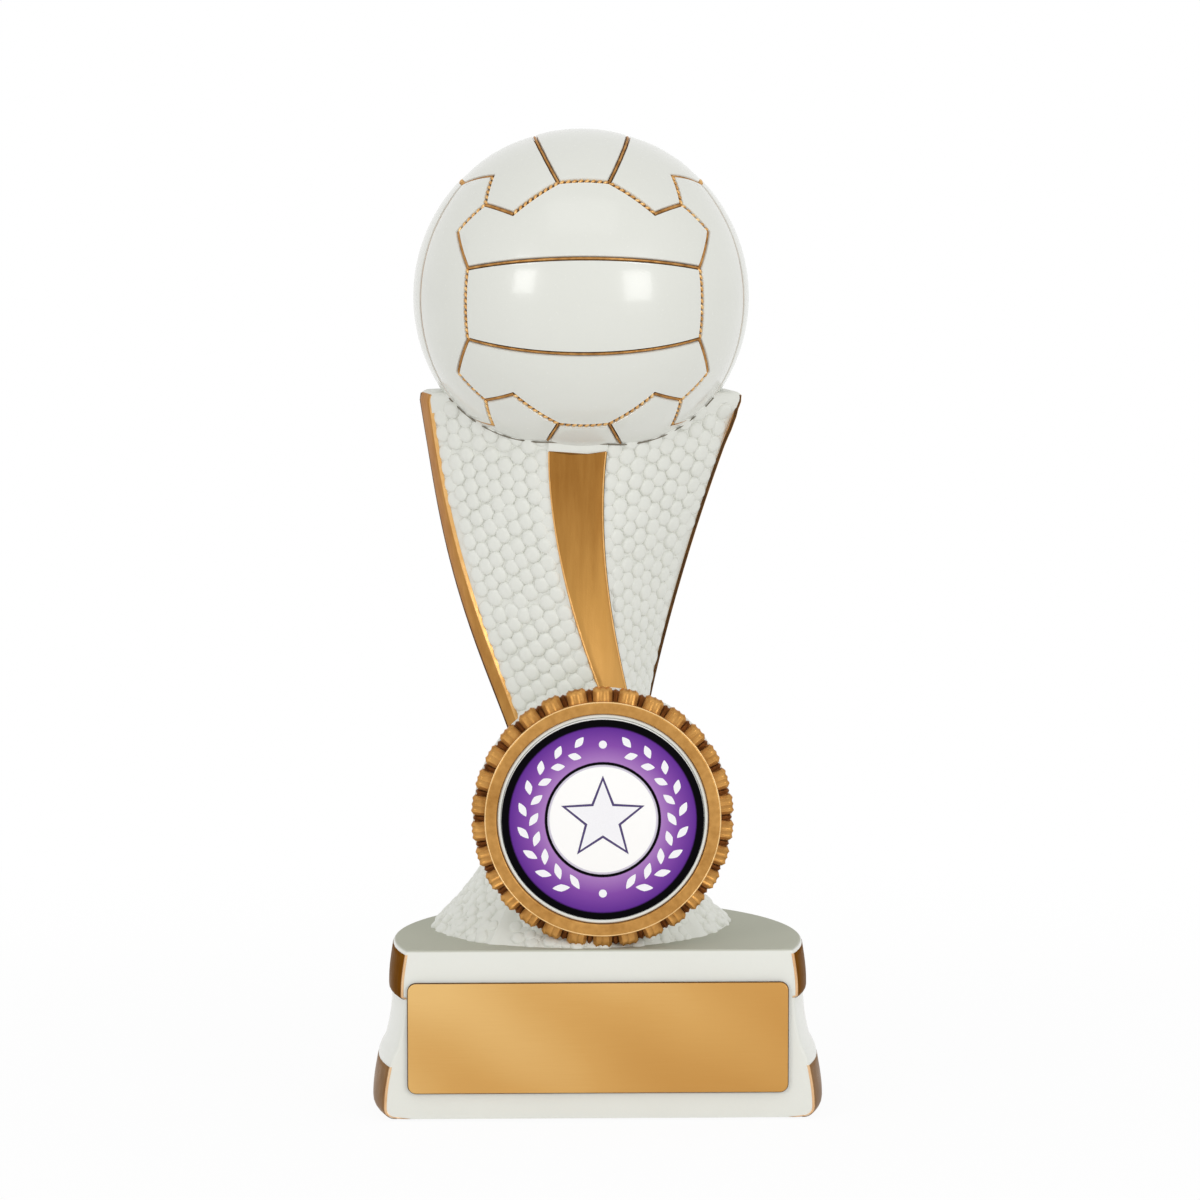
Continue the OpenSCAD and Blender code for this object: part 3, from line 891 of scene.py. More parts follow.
def tower(rings: Sequence[Sequence[Sequence[float]]]) -> bmesh.types.BMesh:
    """Extrudes a closed ring through the places that the rings give, and caps both ends.

    Args:
        rings: The places of each ring's points, lowest ring first.

    Returns:
        The closed mesh.
    """
    mesh = bmesh.new()
    order = bmesh.ops.create_circle(mesh, segments=len(rings[0]), radius=1.0)["verts"]
    edges = list(mesh.edges)
    move_to(order, rings[0])
    for ring in rings[1:]:
        grown = bmesh.ops.extrude_edge_only(mesh, edges=edges)["geom"]
        order = [next(e.other_vert(v) for e in v.link_edges if e.calc_length() < 1e-9) for v in order]
        rim = set(order)
        edges = [edge for edge in keep_edges(grown) if all(v in rim for v in edge.verts)]
        move_to(order, ring)
    bmesh.ops.holes_fill(mesh, edges=mesh.edges, sides=0)
    return mesh


def move_to(verts: Sequence[bmesh.types.BMVert], places: Sequence[Sequence[float]]) -> None:
    """Moves each vertex to its place."""
    for vert, place in zip(verts, places):
        vert.co = Vector(place)


def lathe(
    profile: Sequence[tuple[float, float]], axis: Vector, steps: int, closed: bool = True
) -> bmesh.types.BMesh:
    """Spins a line of radius and depth about an axis that runs from front to back.

    Args:
        profile: Points as a distance from the axis and a distance in front of the origin.
        axis: A point of the axis.
        steps: Steps of the full turn.
        closed: Whether the line is joined into a ring first.

    Returns:
        The spun mesh.
    """
    mesh = bmesh.new()
    made = chain(mesh, [(axis.x + radius, -depth, axis.z) for radius, depth in profile])
    if closed:
        verts = keep_verts(made)
        made.append(mesh.edges.new((verts[-1], verts[0])))
    sweep(mesh, made, axis, AWAY, steps, use_merge=True)
    bmesh.ops.remove_doubles(mesh, verts=mesh.verts, dist=MERGE)
    return mesh


def cords(paths: Sequence[Sequence[Vector]], radius: float) -> bmesh.types.BMesh:
    """Makes round cords along paths, with closed ends.

    Args:
        paths: The places along each path.
        radius: The cords' radius.

    Returns:
        The closed mesh.
    """
    curve = bpy.data.curves.new("cord_path", "CURVE")
    curve.dimensions = "3D"
    curve.bevel_depth = radius
    curve.bevel_resolution = 2
    curve.use_fill_caps = True
    for path in paths:
        spline = curve.splines.new("POLY")
        spline.points.add(len(path) - 1)
        for point, place in zip(spline.points, path):
            point.co = (*place, 1.0)
    carrier = bpy.data.objects.new("cord_carrier", curve)
    data = bpy.data.meshes.new_from_object(carrier)
    bpy.data.objects.remove(carrier)
    bpy.data.curves.remove(curve)
    mesh = bmesh.new()
    mesh.from_mesh(data)
    bpy.data.meshes.remove(data)
    return mesh


def frame_of(right: Vector, up: Vector) -> Matrix:
    """Returns the turn that has unit vectors at right angles as its X and Z axes."""
    return Matrix((right, up.cross(right), up)).transposed().to_4x4()


def stamp(target: bmesh.types.BMesh, data: bpy.types.Mesh, place: Matrix) -> None:
    """Adds a copy of mesh data to a mesh at a place, and leaves the data as it was.

    Args:
        target: The mesh to add to.
        data: What is copied.
        place: The copy's place.
    """
    data.transform(place)
    target.from_mesh(data, face_normals=False, vertex_normals=False)
    data.transform(place.inverted())


# Plinth


@dataclass
class Plinth:
    """The D-shaped base: white casting, two gold mouldings, name plate and felt."""

    width: float = 51.0
    height: float = 21.4
    panel_y: float = 20.0
    back: float = 18.3
    widest_y: float = 10.0
    front_r: float = 32.0
    back_r: float = 18.0
    upper_band: float = 5.5
    top_lip: float = 0.6
    upper_swell: float = 0.5
    lower_band: float = 6.8
    lower_swell: float = 2.54
    lower_shoulder: float = 1.9
    shoulder: float = 2.2
    hollow_swell: float = 1.05
    foot_r: float = 1.3
    rim: float = 0.3
    felt_rim: float = 2.0
    felt_recess: float = 1.0
    corner_r: float = 0.34
    front_arc: float = 19.0
    coat: float = 0.06
    coat_root: float = 0.3
    # Normal Y range of the corner faces that get the painted highlight line; the coat starts at its upper
    # end.
    line_facing: tuple[float, float] = (-0.985, -0.5)

    @property
    def upper_top(self) -> float:
        """Height of the upper moulding's top."""
        return self.height - self.top_lip

    @property
    def upper_bottom(self) -> float:
        """Height of the upper moulding's underside."""
        return self.upper_top - self.upper_band

    def outer_line(self) -> list[tuple[float, float]]:
        """Returns the side's outer line as swell and height, downwards.

        Returns:
            The line's points.
        """
        tuck = self.upper_swell * 0.7
        tuck_z = self.upper_bottom + tuck
        shoulder = (self.hollow_swell, self.lower_band + self.shoulder)
        lower_top = (self.lower_shoulder, self.lower_band)
        foot = (self.lower_swell, self.rim + self.foot_r)
        line = arc((-self.top_lip, self.upper_top), self.top_lip, 90, 0, 6)
        line += flow((0.0, self.upper_top), (self.upper_swell, tuck_z + tuck), 8, quarter_sine)
        line += arc((self.upper_swell - tuck, tuck_z), tuck, 0, -90, 6)
        line += flow((self.upper_swell - tuck, self.upper_bottom), shoulder, 10, lambda share: share * share)
        line += flow(shoulder, lower_top, 8, quarter_sine)
        line += flow(lower_top, foot, 8, quarter_sine)
        return line + arc((self.lower_swell - self.foot_r, foot[1]), self.foot_r, -15, -90, 6)

    def block(self, line: Sequence[tuple[float, float]], front: float, steps: int = 1) -> bmesh.types.BMesh:
        """Sweeps a line of swell and height round the plan and closes the block.

        Args:
            line: Points of swell and height, downwards.
            front: Distance of the flat front from the axis plane.
            steps: A factor for the number of steps of the side and back arcs.

        Returns:
            The closed block.
        """
        half = self.width / 2
        depth = self.back + self.widest_y
        side_r = (half**2 + (depth - self.back_r) ** 2 - self.back_r**2) / (2 * (half - self.back_r))
        join = math.atan2(depth - self.back_r, side_r - half)
        lead = math.radians(self.front_arc)
        start = Vector((half - self.front_r, -self.widest_y, 0))
        outward = Vector((math.cos(-lead), math.sin(-lead), 0))
        mesh = bmesh.new()
        places = [start + outward * (self.front_r + swell) + Vector((0, 0, z)) for swell, z in line]
        made = chain(mesh, places)
        first = keep_edges(made)
        turns = [
            (half - self.front_r, -self.widest_y, lead, 5),
            (half - side_r, -self.widest_y, join, 16 * steps),
            (0.0, self.back - self.back_r, math.pi - 2 * join, 14 * steps),
            (side_r - half, -self.widest_y, join, 16 * steps),
            (self.front_r - half, -self.widest_y, lead, 5),
        ]
        for x, y, angle, count in turns:
            made = sweep(mesh, made, (x, y, 0), UP, count, angle)
        bmesh.ops.bridge_loops(mesh, edges=first + keep_edges(made))
        bmesh.ops.holes_fill(mesh, edges=mesh.edges, sides=0)
        bmesh.ops.recalc_face_normals(mesh, faces=mesh.faces)
        cut(mesh, (0, -front, 0), (0, -1, 0))
        bmesh.ops.recalc_face_normals(mesh, faces=mesh.faces)
        return mesh

    def casting(self) -> bmesh.types.BMesh:
        """Makes the whole outer form, with the edges of the front panel rounded.

        Returns:
            The closed mesh.
        """
        mesh = self.block(self.outer_line(), self.panel_y, 2)
        front = face_towards(mesh, -AWAY)
        spare = 0.001
        upright = [e for e in front.edges if abs(e.verts[0].co.z - e.verts[1].co.z) > spare]
        top = [e for e in front.edges if min(v.co.z for v in e.verts) > self.height - spare]
        round_edges(mesh, upright, self.corner_r, 5)
        round_edges(mesh, [e for e in top if e.is_valid], self.corner_r / 2, 4, clamp=True)
        return mesh

    def build_casting(self) -> None:
        """Publishes the white casting, recessed underneath for the felt."""
        mesh = self.casting()
        under = face_towards(mesh, -UP)
        bmesh.ops.inset_region(mesh, faces=[under], thickness=self.felt_rim, use_even_offset=True)
        bmesh.ops.inset_region(mesh, faces=[under], thickness=0.02, depth=-self.felt_recess)
        Piece("plinth_casting", PLINTH_WHITE, ("plinth",)).publish(mesh)

    def build_moulding(self, name: str, low: float, high: float, gold: Finish) -> None:
        """Publishes the gold coat over one moulding, with a line of painted highlight on its front corner.

        Args:
            name: The solid that the coat stands for.
            low: Height of its lower border.
            high: Height of its upper border.
            gold: The coat's finish.
        """
        flat, turned = self.line_facing
        whole = self.coat + self.coat_root
        for word, finish, front, back, tilt in (
            ("coat", gold, turned, 2.0, 0.99),
            ("line", BAND_HIGHLIGHT, flat, turned, 0.5),
        ):
            mesh = self.band(low, high, front, back, tilt)
            made = Piece(f"{name}_{word}", finish, (name,), 40).publish(mesh, False)
            shell = made.modifiers.new("coat", "SOLIDIFY")
            shell.thickness = whole * MM
            shell.offset = blend_to(-1, 1, self.coat / whole)

    def band(self, low: float, high: float, front: float, back: float, tilt: float) -> bmesh.types.BMesh:
        """Returns the part of the casting's side between two heights and two facings.

        Args:
            low: Lower height.
            high: Upper height.
            front: The least Y of a face's normal.
            back: The greatest Y of a face's normal.
            tilt: The greatest Z of a face's normal.

        Returns:
            The open sheet.
        """
        mesh = self.casting()
        for z in (low, high):
            cut(mesh, (0, 0, z), (0, 0, 1), clear=False)
        spare = [
            face
            for face in mesh.faces
            if not (low < face.calc_center_median().z < high and front <= face.normal.y < back)
            or abs(face.normal.z) > tilt
        ]
        bmesh.ops.delete(mesh, geom=spare, context="FACES")
        return mesh

    def build_felt(self) -> None:
        """Publishes the felt pad in its recess."""
        inset = -self.felt_rim - 0.05
        line = [(inset - 0.4, 1.25), (inset, 1.1), (inset, 0.25), (inset - 0.25, 0.0)]
        mesh = self.block(line, self.panel_y + inset)
        Piece("felt_base", FELT, ("felt_pad",), 50).publish(mesh)

    def build(self) -> None:
        """Publishes every piece of the plinth."""
        self.build_casting()
        self.build_moulding("upper_moulding", self.upper_bottom, self.upper_top, UPPER_BAND_SHADE)
        self.build_moulding("lower_moulding", self.rim + 0.05, self.lower_band, BAND_SHADE_GOLD)
        self.build_felt()


@dataclass
class NamePlate:
    """The blank gold plate on the plinth's front panel."""

    width: float = 46.9
    height: float = 13.7
    thickness: float = 0.5
    corner_r: float = 1.0
    bottom_z: float = 3.6
    middle_x: float = -0.2
    back_y: float = -20.2
    rim_w: float = 0.09

    @property
    def centre(self) -> tuple[float, float, float]:
        """Middle of the plate."""
        return (self.middle_x, self.back_y - self.thickness / 2, self.bottom_z + self.height / 2)

    def slab(self, margin: float, thickness: float) -> bmesh.types.BMesh:
        """Makes a plate with round corners and a softened face edge.

        Args:
            margin: How far it reaches beyond the name plate's outline.
            thickness: Its thickness.

        Returns:
            The closed mesh, centred on the name plate.
        """
        mesh = box(Vector((self.width + margin * 2, thickness, self.height + margin * 2)))
        through = [e for e in mesh.edges if abs(e.verts[0].co.y - e.verts[1].co.y) > 0.1]
        round_edges(mesh, through, self.corner_r + margin, 8)
        face = [e for e in mesh.edges if all(v.co.y < 0 for v in e.verts)]
        round_edges(mesh, face, thickness * 0.3, 3)
        bmesh.ops.translate(mesh, vec=Vector(self.centre), verts=mesh.verts)
        return mesh

    def build(self) -> None:
        """Publishes the plate and a dark rim round it that paints its edge shadow."""
        tones = (paint(228, 184, 112), paint(211, 160, 84), paint(199, 145, 68))
        finish = SatinPlate("plate_gold", "gold_plate", *tones, self.centre, self.width * 0.7)
        Piece("blank_plate", finish, ("name_plate",), 30).publish(self.slab(0.0, self.thickness))
        # A dark slab just larger than the plate, set behind it: painted shadow round its edge.
        rim = self.slab(self.rim_w, self.thickness * 0.6)
        bmesh.ops.translate(rim, vec=Vector((0, self.thickness * 0.2, 0)), verts=rim.verts)
        Piece("plate_cut_edge", EDGE_SHADOW, ("name_plate",), 30).publish(rim)


# Column


class Side(Enum):
    """Corners of the column, in their order round it, seen from above."""

    LEFT = 0
    FRONT = 1
    RIGHT = 2
    BACK = 3

    @property
    def word(self) -> str:
        """The corner's name in lower case."""
        return self.name.lower()

    @property
    def is_side(self) -> bool:
        """Whether the corner runs up one of the ears."""
        return self in (Side.LEFT, Side.RIGHT)

    @property
    def following(self) -> Side:
        """The next corner round the column."""
        return Side((self.value + 1) % 4)


@dataclass
class Column:
    """The flared, twisted column: white core, four net faces and four gold ribbons."""

    base: float = 21.4
    height: float = 67.6
    centre_x: float = -1.8
    waist_h: float = 21.4
    waist_w: float = 9.2
    waist_d: float = 10.7
    mouth_d: float = 11.2
    ear_wall: float = 2.2
    ear_round: float = 1.2
    foot_r: float = 19.6
    foot_d: float = 18.4
    twist: float = 39.0
    bow: float = 1.6
    face_bulge: float = 0.4
    ribbon_w: float = 7.2
    ribbon_end_w: float = 1.7
    side_share: float = 0.65
    side_turn: float = 13.0
    ribbon_t: float = 0.8
    ribbon_proud: float = 0.12
    ribbon_foot: float = 13.5
    ribbon_lip: float = 0.6
    ball_r: float = 21.05
    ball_sink: float = 9.3
    edge_w: float = 0.15
    edge_lift: float = 0.14
    edge_reach: float = 0.03
    ribbon_crown: float = 0.1
    ribbon_dip: float = 0.45
    net_drop: float = 0.3
    contact_r: float = 0.09

    def __post_init__(self) -> None:
        """Works out the heights that the other sizes give."""
        self.top = self.base + self.height
        self.ball_z = self.top - self.ball_sink + self.ball_r - 0.05
        self.lip = self.ball_z - math.sqrt(self.ball_r**2 - self.mouth_d**2)
        self.waist = self.base + self.waist_h
        self.ear_w = math.sqrt(self.ball_r**2 - (self.ball_z - self.top) ** 2) + self.ear_wall
        self.shaft_top = self.top - self.ear_round
        self.ribbon_top = self.lip - self.ribbon_lip
        self.ribbon_low = self.base + self.ribbon_foot
        self.throat = self.waist_h * 0.28

    def growth(self, z: float) -> float:
        """Growth above the waist: level there, then straight."""
        return math.sqrt((z - self.waist) ** 2 + self.throat**2) - self.throat

    def foot_share(self, z: float) -> float:
        """Share of the way from the waist down to the plinth, with the foot's flare."""
        return ((self.waist - z) / self.waist_h) ** 2.3

    def ear_rounding(self, z: float) -> float:
        """Inward step of the rounded edge at the ears' tops.

        Args:
            z: The height.

        Returns:
            The step.
        """
        if z <= self.shaft_top:
            return 0.0
        return self.ear_round - math.sqrt(max(0.0, self.ear_round**2 - (z - self.shaft_top) ** 2))

    def half_w(self, z: float) -> float:
        """Half width of the column at a height.

        Args:
            z: The height.

        Returns:
            The half width.
        """
        if z <= self.waist:
            return blend_to(self.waist_w, self.foot_r, self.foot_share(z))
        share = self.growth(z) / self.growth(self.top)
        return blend_to(self.waist_w, self.ear_w, share) - self.ear_rounding(z)

    def half_d(self, z: float) -> float:
        """Half depth of the column at a height.

        Args:
            z: The height.

        Returns:
            The half depth.
        """
        if z <= self.waist:
            return blend_to(self.waist_d, self.foot_d, self.foot_share(z))
        share = self.growth(z) / self.growth(self.lip)
        return blend_to(self.waist_d, self.mouth_d, share) - self.ear_rounding(z)

    def turn(self, z: float) -> float:
        """Twist at a height, in radians.

        Args:
            z: The height.

        Returns:
            The turn.
        """
        reach = self.ribbon_top - self.waist
        if z > self.waist:
            return math.radians(self.twist * (max(0.0, self.ribbon_top - z) / reach) ** 1.5)
        below = self.waist - z
        rate = 1.5 * self.twist / reach
        return math.radians(self.twist + rate * (below - below**2 / (self.waist_h * 2)))

    def axis_x(self, z: float) -> float:
        """Sideways place of the axis at a height.

        Args:
            z: The height.

        Returns:
            The axis's X.
        """
        if z <= self.waist:
            return self.centre_x
        share = min(1.0, (z - self.waist) / (self.top - self.waist))
        return self.centre_x - self.bow * math.sin(math.pi * share)

    def ribbon_half(self, side: Side, z: float) -> float:
        """Half width of a ribbon at a height.

        Args:
            side: The ribbon's corner.
            z: The height.

        Returns:
            The half width.
        """
        share = (z - self.ribbon_low) / (self.ribbon_top - self.ribbon_low)
        width = max(self.ribbon_end_w, blend_to(self.ribbon_end_w, self.ribbon_w, share))
        return width / 2 * (self.side_share if side.is_side else 1.0)

    def bulge(self, z: float) -> float:
        """Bulge of the net faces at a height.

        Args:
            z: The height.

        Returns:
            The bulge in a face's middle.
        """
        if z >= self.waist:
            return self.face_bulge
        return blend_to(self.face_bulge, self.foot_r * 0.27, self.foot_share(z))

    def placed(self, x: float, y: float, z: float) -> Vector:
        """Turns and places a plan point of the column.

        Args:
            x: The point's X before the twist.
            y: Its Y before the twist.
            z: The height.

        Returns:
            The point in space.
        """
        a = self.turn(z)
        return Vector(
            (self.axis_x(z) + x * math.cos(a) - y * math.sin(a), x * math.sin(a) + y * math.cos(a), z)
        )

    def corner(self, side: Side, z: float, out: float, sideways: float) -> tuple[float, float]:
        """Returns the plan point of a corner's middle, moved out and sideways.

        Args:
            side: The corner.
            z: The height.
            out: The step outwards.
            sideways: The step sideways.

        Returns:
            The plan point before the twist.
        """
        a = math.radians(180 + 90 * side.value)
        if side.is_side:
            reach = self.half_w(z) + out - sideways * math.tan(math.radians(self.side_turn))
        else:
            reach = self.half_d(z) + out
        return (reach * math.cos(a) - sideways * math.sin(a), reach * math.sin(a) + sideways * math.cos(a))

    def face_ends(self, side: Side, z: float) -> tuple[Vector, Vector]:
        """Returns the plan points between which the net face after a corner runs.

        Args:
            side: The corner before the face.
            z: The height.

        Returns:
            The two plan points before the twist.
        """
        start = Vector(self.corner(side, z, 0, self.ribbon_half(side, z)))
        ahead = side.following
        return start, Vector(self.corner(ahead, z, 0, -self.ribbon_half(ahead, z)))

    def face_point(self, side: Side, share: float, z: float, lift: float = 0.0) -> Vector:
        """Returns a point of a net face, lifted off it in the plan.

        Args:
            side: The corner before the face.
            share: The share across the face.
            z: The height.
            lift: The step off the face.

        Returns:
            The point in space.
        """
        start, end = self.face_ends(side, z)
        run = end - start
        outward = Vector((run.y, -run.x)).normalized()
        plan = start + run * share + outward * (self.bulge(z) * 4 * share * (1 - share) + lift)
        return self.placed(plan.x, plan.y, z)

    def drop(self, z: float) -> float:
        """How far the net faces lie below the ribbons' flats, fading out at the ears' tops."""
        return self.net_drop * (1 - ease((z - self.top + 3.0) / 1.2))

    def ring(self, z: float) -> list[Vector]:
        """Returns one ring of the white core.

        Args:
            z: The height.

        Returns:
            The ring's points, in order.
        """
        shares = [0.02, 0.06] + [i / 12 for i in range(1, 12)] + [0.94, 0.98]
        places = []
        for side in Side:
            half = self.ribbon_half(side, z)
            places += [self.placed(*self.corner(side, z, 0, edge), z) for edge in (-half, half)]
            places += [self.face_point(side, share, z, -self.drop(z)) for share in shares]
        return places

    def build_core(self) -> None:
        """Publishes the white core under the net and the ribbons."""
        levels = [self.base + self.waist_h * (1 - (1 - i / 24) ** 1.3) for i in range(24)]
        levels += [blend_to(self.waist, self.shaft_top, i / 56) for i in range(57)]
        levels += [self.shaft_top + self.ear_round * math.sin(math.pi / 2 * i / 6) for i in range(1, 7)]
        Piece("column_core", RESIN, ("column",), 28).publish(tower([self.ring(z) for z in levels]))

    def ribbon_reach(self, side: Side) -> tuple[float, float]:
        """Returns the heights between which a ribbon is built."""
        low = self.waist + 4 if side is Side.FRONT else self.ribbon_low
        return low, self.top - 0.35 if side.is_side else self.ribbon_top

    def build_ribbon(self, side: Side) -> None:
        """Publishes one ribbon: softly crowned, with a concave upper end.

        Args:
            side: The ribbon's corner.
        """
        low, high = self.ribbon_reach(side)
        across = [-1.0, -0.92, -0.6, -0.2, 0.2, 0.6, 0.92, 1.0]
        rings = []
        for i in range(61):
            share = i / 60
            z = blend_to(low, high, share)
            half = self.ribbon_half(side, z) - 0.05
            dip = 0.0 if side.is_side else self.ribbon_dip * ease((share - 0.94) / 0.06)
            ring = []
            for w in across:
                crown = self.ribbon_proud + self.ribbon_crown * (1 - w * w if abs(w) < 1 else -1)
                level = z - dip * (1 - w * w)
                ring.append(self.placed(*self.corner(side, level, crown, w * half), level))
            for w in (1.0, -1.0):
                ring.append(self.placed(*self.corner(side, z, -self.ribbon_t, w * half), z))
            rings.append(ring)
        finish = GOLD_PAINT if side.is_side else RIBBON_GOLD
        Piece(f"{side.word}_ribbon", finish, (f"ribbon_{side.word}",), 50).publish(tower(rings))

    def border_reach(self, side: Side, hand: int, z: float) -> float:
        """How far a ribbon's lit border reaches past its edge, with the right ear's wider end.

        Args:
            side: The ribbon's corner.
            hand: -1 or 1 for the border.
            z: The height.

        Returns:
            The reach.
        """
        if side is not Side.RIGHT or hand > 0:
            return self.edge_reach
        rise = ease((z - self.top + 6.5) / 1.6)
        fall = ease((z - self.top + 3.2) / 0.6)
        return self.edge_reach + 0.4 * rise * (1 - fall)

    def border(self, side: Side, hand: int, lit: bool) -> bmesh.types.BMesh:
        """Makes one line along a border of a ribbon.

        Args:
            side: The ribbon's corner.
            hand: -1 or 1 for the border.
            lit: Whether it is the bright inner line of painted highlight or the dark line of painted shadow
                outside it.

        Returns:
            The closed mesh.
        """
        low, high = self.ribbon_reach(side)
        rings = []
        for i in range(61):
            z = blend_to(low, high - 0.1, i / 60)
            half = self.ribbon_half(side, z)
            reach = self.border_reach(side, hand, z)
            near, far = (-self.edge_w, reach) if lit else (reach, reach + self.edge_w / 2)
            near -= 0.22 if side is Side.LEFT and not lit else 0
            lift = self.edge_lift if lit or side is Side.LEFT else self.edge_lift * 0.6
            corners = [(near, -0.3), (far, -0.3), (far, lift), (near, lift)]
            plan = [self.corner(side, z, out, hand * (half + w)) for w, out in corners]
            rings.append([self.placed(*point, z) for point in plan])
        return tower(rings)

    def build_ribbon_edges(self, side: Side) -> None:
        """Publishes the lines of painted highlight and painted shadow along the borders of a ribbon.

        Args:
            side: The ribbon's corner.
        """
        dark_hand = -1 if side.is_side else 1
        lines = [("lit", RIBBON_HIGHLIGHT, hand) for hand in (-1, 1) if side is not Side.LEFT or hand > 0]
        for word, finish, hand in lines + [("dark", EDGE_SHADOW, dark_hand)]:
            name = f"{side.word}_ribbon_{word}_{'near' if hand < 0 else 'far'}"
            made = self.border(side, hand, word == "lit")
            Piece(name, finish, (f"ribbon_{side.word}",), 50).publish(made)

    def contact_height(self, side: Side, share: float) -> float:
        """Returns the height at which a face reaches the ball, by halving.

        Args:
            side: The corner before the face.
            share: The share across the face.

        Returns:
            The height.
        """
        middle = Vector((self.centre_x, 0, self.ball_z))
        low, high = self.waist, self.top
        for _ in range(24):
            z = (low + high) / 2
            inside = (self.face_point(side, share, z) - middle).length < self.ball_r
            low, high = (low, z) if inside else (z, high)
        return low

    def build_contact_line(self) -> None:
        """Publishes a thin dark cord of painted shadow where the ball meets the front and back faces."""
        runs = []
        for first, second in ((Side.LEFT, Side.FRONT), (Side.RIGHT, Side.BACK)):
            run = []
            for side in (first, second):
                for i in range(49):
                    z = self.contact_height(side, i / 48)
                    if z < self.top - 0.5:
                        run.append(self.face_point(side, i / 48, z, self.contact_r / 3))
            runs.append(run)
        Piece("contact_line", SHADOW_CORD, (), 60).publish(cords(runs, self.contact_r))

    def build(self) -> None:
        """Publishes every piece of the column."""
        net = Net(self)
        self.build_core()
        for side in Side:
            self.build_ribbon(side)
            self.build_ribbon_edges(side)
            net.build_face(side)
        self.build_contact_line()


class Pebble(NamedTuple):
    """One pebble: its place across a face and up it, and factors for its width and its relief."""

    share: float
    z: float
    size: float
    relief: float


@dataclass
class Net:
    """The raised net: rows of pebbles on the column's faces, and lumps over them at the foot."""

    column: Column
    pitch: float = 2.1
    first_row: float = 0.4
    foot_stray: float = 0.45
    shaft_stray: float = 0.16
    foot_size: float = 0.8
    border_height: float = 0.62
    clear_foot: float = 0.2
    clear_top: float = 1.6
    overhang: float = 0.7
    lumps: int = 150
    lump_reach: float = 10.0
    seed: int = 5

    def dome(self) -> bpy.types.Mesh:
        """Returns the mesh of one pebble, standing on the XY plane.

        Returns:
            The mesh data.
        """
        mesh = bmesh.new()
        radius = self.pitch * 0.57
        line = [(1.0, -0.2), (0.94, 0.06), (0.83, 0.26), (0.66, 0.38), (0.36, 0.43)]
        made = chain(mesh, [(radius * share, 0, height) for share, height in line])
        sweep(mesh, made, (0, 0, 0), UP, 12, use_merge=True)
        bmesh.ops.holes_fill(mesh, edges=mesh.edges, sides=0)
        bmesh.ops.recalc_face_normals(mesh, faces=mesh.faces)
        return to_data(mesh, "pebble")

    def face_lengths(self, side: Side) -> list[tuple[float, float]]:
        """Returns heights up a face's middle, each with its length from the foot.

        Args:
            side: The corner before the face.

        Returns:
            The pairs of height and length.
        """
        length, z = 0.0, self.column.base
        table = [(z, length)]
        last = self.column.face_point(side, 0.5, z)
        while z < self.column.top:
            z += 0.5
            here = self.column.face_point(side, 0.5, z)
            length += (here - last).length
            last = here
            table.append((z, length))
        return table

    @staticmethod
    def margin(side: Side) -> float:
        """How far the pebbles' middles stay from a ribbon."""
        return {Side.LEFT: 1.05, Side.RIGHT: 1.25}.get(side, 0.8)

    def row(self, side: Side, number: int, z: float, chance: random.Random) -> Iterator[Pebble]:
        """Draws one row of pebbles.

        Args:
            side: The corner before the face.
            number: The row's number, from the foot.
            z: The row's height.
            chance: The source of random numbers.

        Yields:
            Each pebble.
        """
        column = self.column
        start, end = column.face_ends(side, z)
        width = (end - start).length
        low, high = self.margin(side) / width, 1 - self.margin(side.following) / width
        spare = self.overhang / width
        stray = blend_to(self.foot_stray, self.shaft_stray, ease((z - column.base) / 9))
        grown = blend_to(self.foot_size, 1.0, ease((z - column.base - 3) / 8))
        step = self.pitch * math.sqrt(3)
        place = -math.ceil(width / step / 2) - 1
        while place * step < width / 2:
            along = (place + (number % 2) / 2) * step + chance.uniform(-stray, stray)
            share = along / width + 0.5
            level = z + chance.uniform(-stray, stray) * 0.9
            inside = column.base + self.clear_foot < level < column.top - self.clear_top
            if inside and low - spare < share < high + spare:
                share = min(max(share, low), high)
                inset = min(share - low, high - share) * width
                size = chance.uniform(0.96, 1.05) * grown
                relief = chance.uniform(0.9, 1.1) * blend_to(self.border_height, 1.0, ease(inset / 1.3))
                yield Pebble(share, level, size, relief)
            place += 1

    def build_face(self, side: Side) -> None:
        """Publishes the pebbles of the net face after a corner.

        Args:
            side: The corner before the face.
        """
        chance = random.Random(side.value + self.seed)
        dome = self.dome()
        target = bmesh.new()
        table = self.face_lengths(side)
        number, length = 0, 0.0
        while length < table[-1][1]:
            z = next((h for h, reach in table if reach >= length + self.first_row), self.column.top)
            for pebble in self.row(side, number, z, chance):
                stamp(target, dome, self.seat(side, pebble))
            number += 1
            length = number * self.pitch / 2
        for _ in range(self.lumps):
            level = self.column.base + 0.3 + self.lump_reach * chance.random() ** 1.3
            size = chance.uniform(0.55, 0.85)
            lump = Pebble(chance.uniform(0.06, 0.94), level, size, size * 0.9)
            stamp(target, dome, self.seat(side, lump))
        bpy.data.meshes.remove(dome)
        Piece(f"net_{side.word}_{side.following.word}", RESIN, (), 60).publish(target, False)

    def seat(self, side: Side, pebble: Pebble) -> Matrix:
        """Returns the place of a pebble on the net face after a corner.

        Args:
            side: The corner before the face.
            pebble: The pebble.

        Returns:
            Its place.
        """
        column, step = self.column, 0.2
        share, z = pebble.share, pebble.z
        here, ahead, above = (
            column.face_point(side, across, level, -column.drop(level))
            for across, level in ((share, z), (share + 0.01, z), (share, z + step))
        )
        right = ahead - here
        turn = frame_of(right.normalized(), right.cross(above - here).normalized())
        growth = Matrix.Diagonal((pebble.size, pebble.size, pebble.relief, 1))
        return Matrix.Translation(here) @ turn @ growth


# Medallion


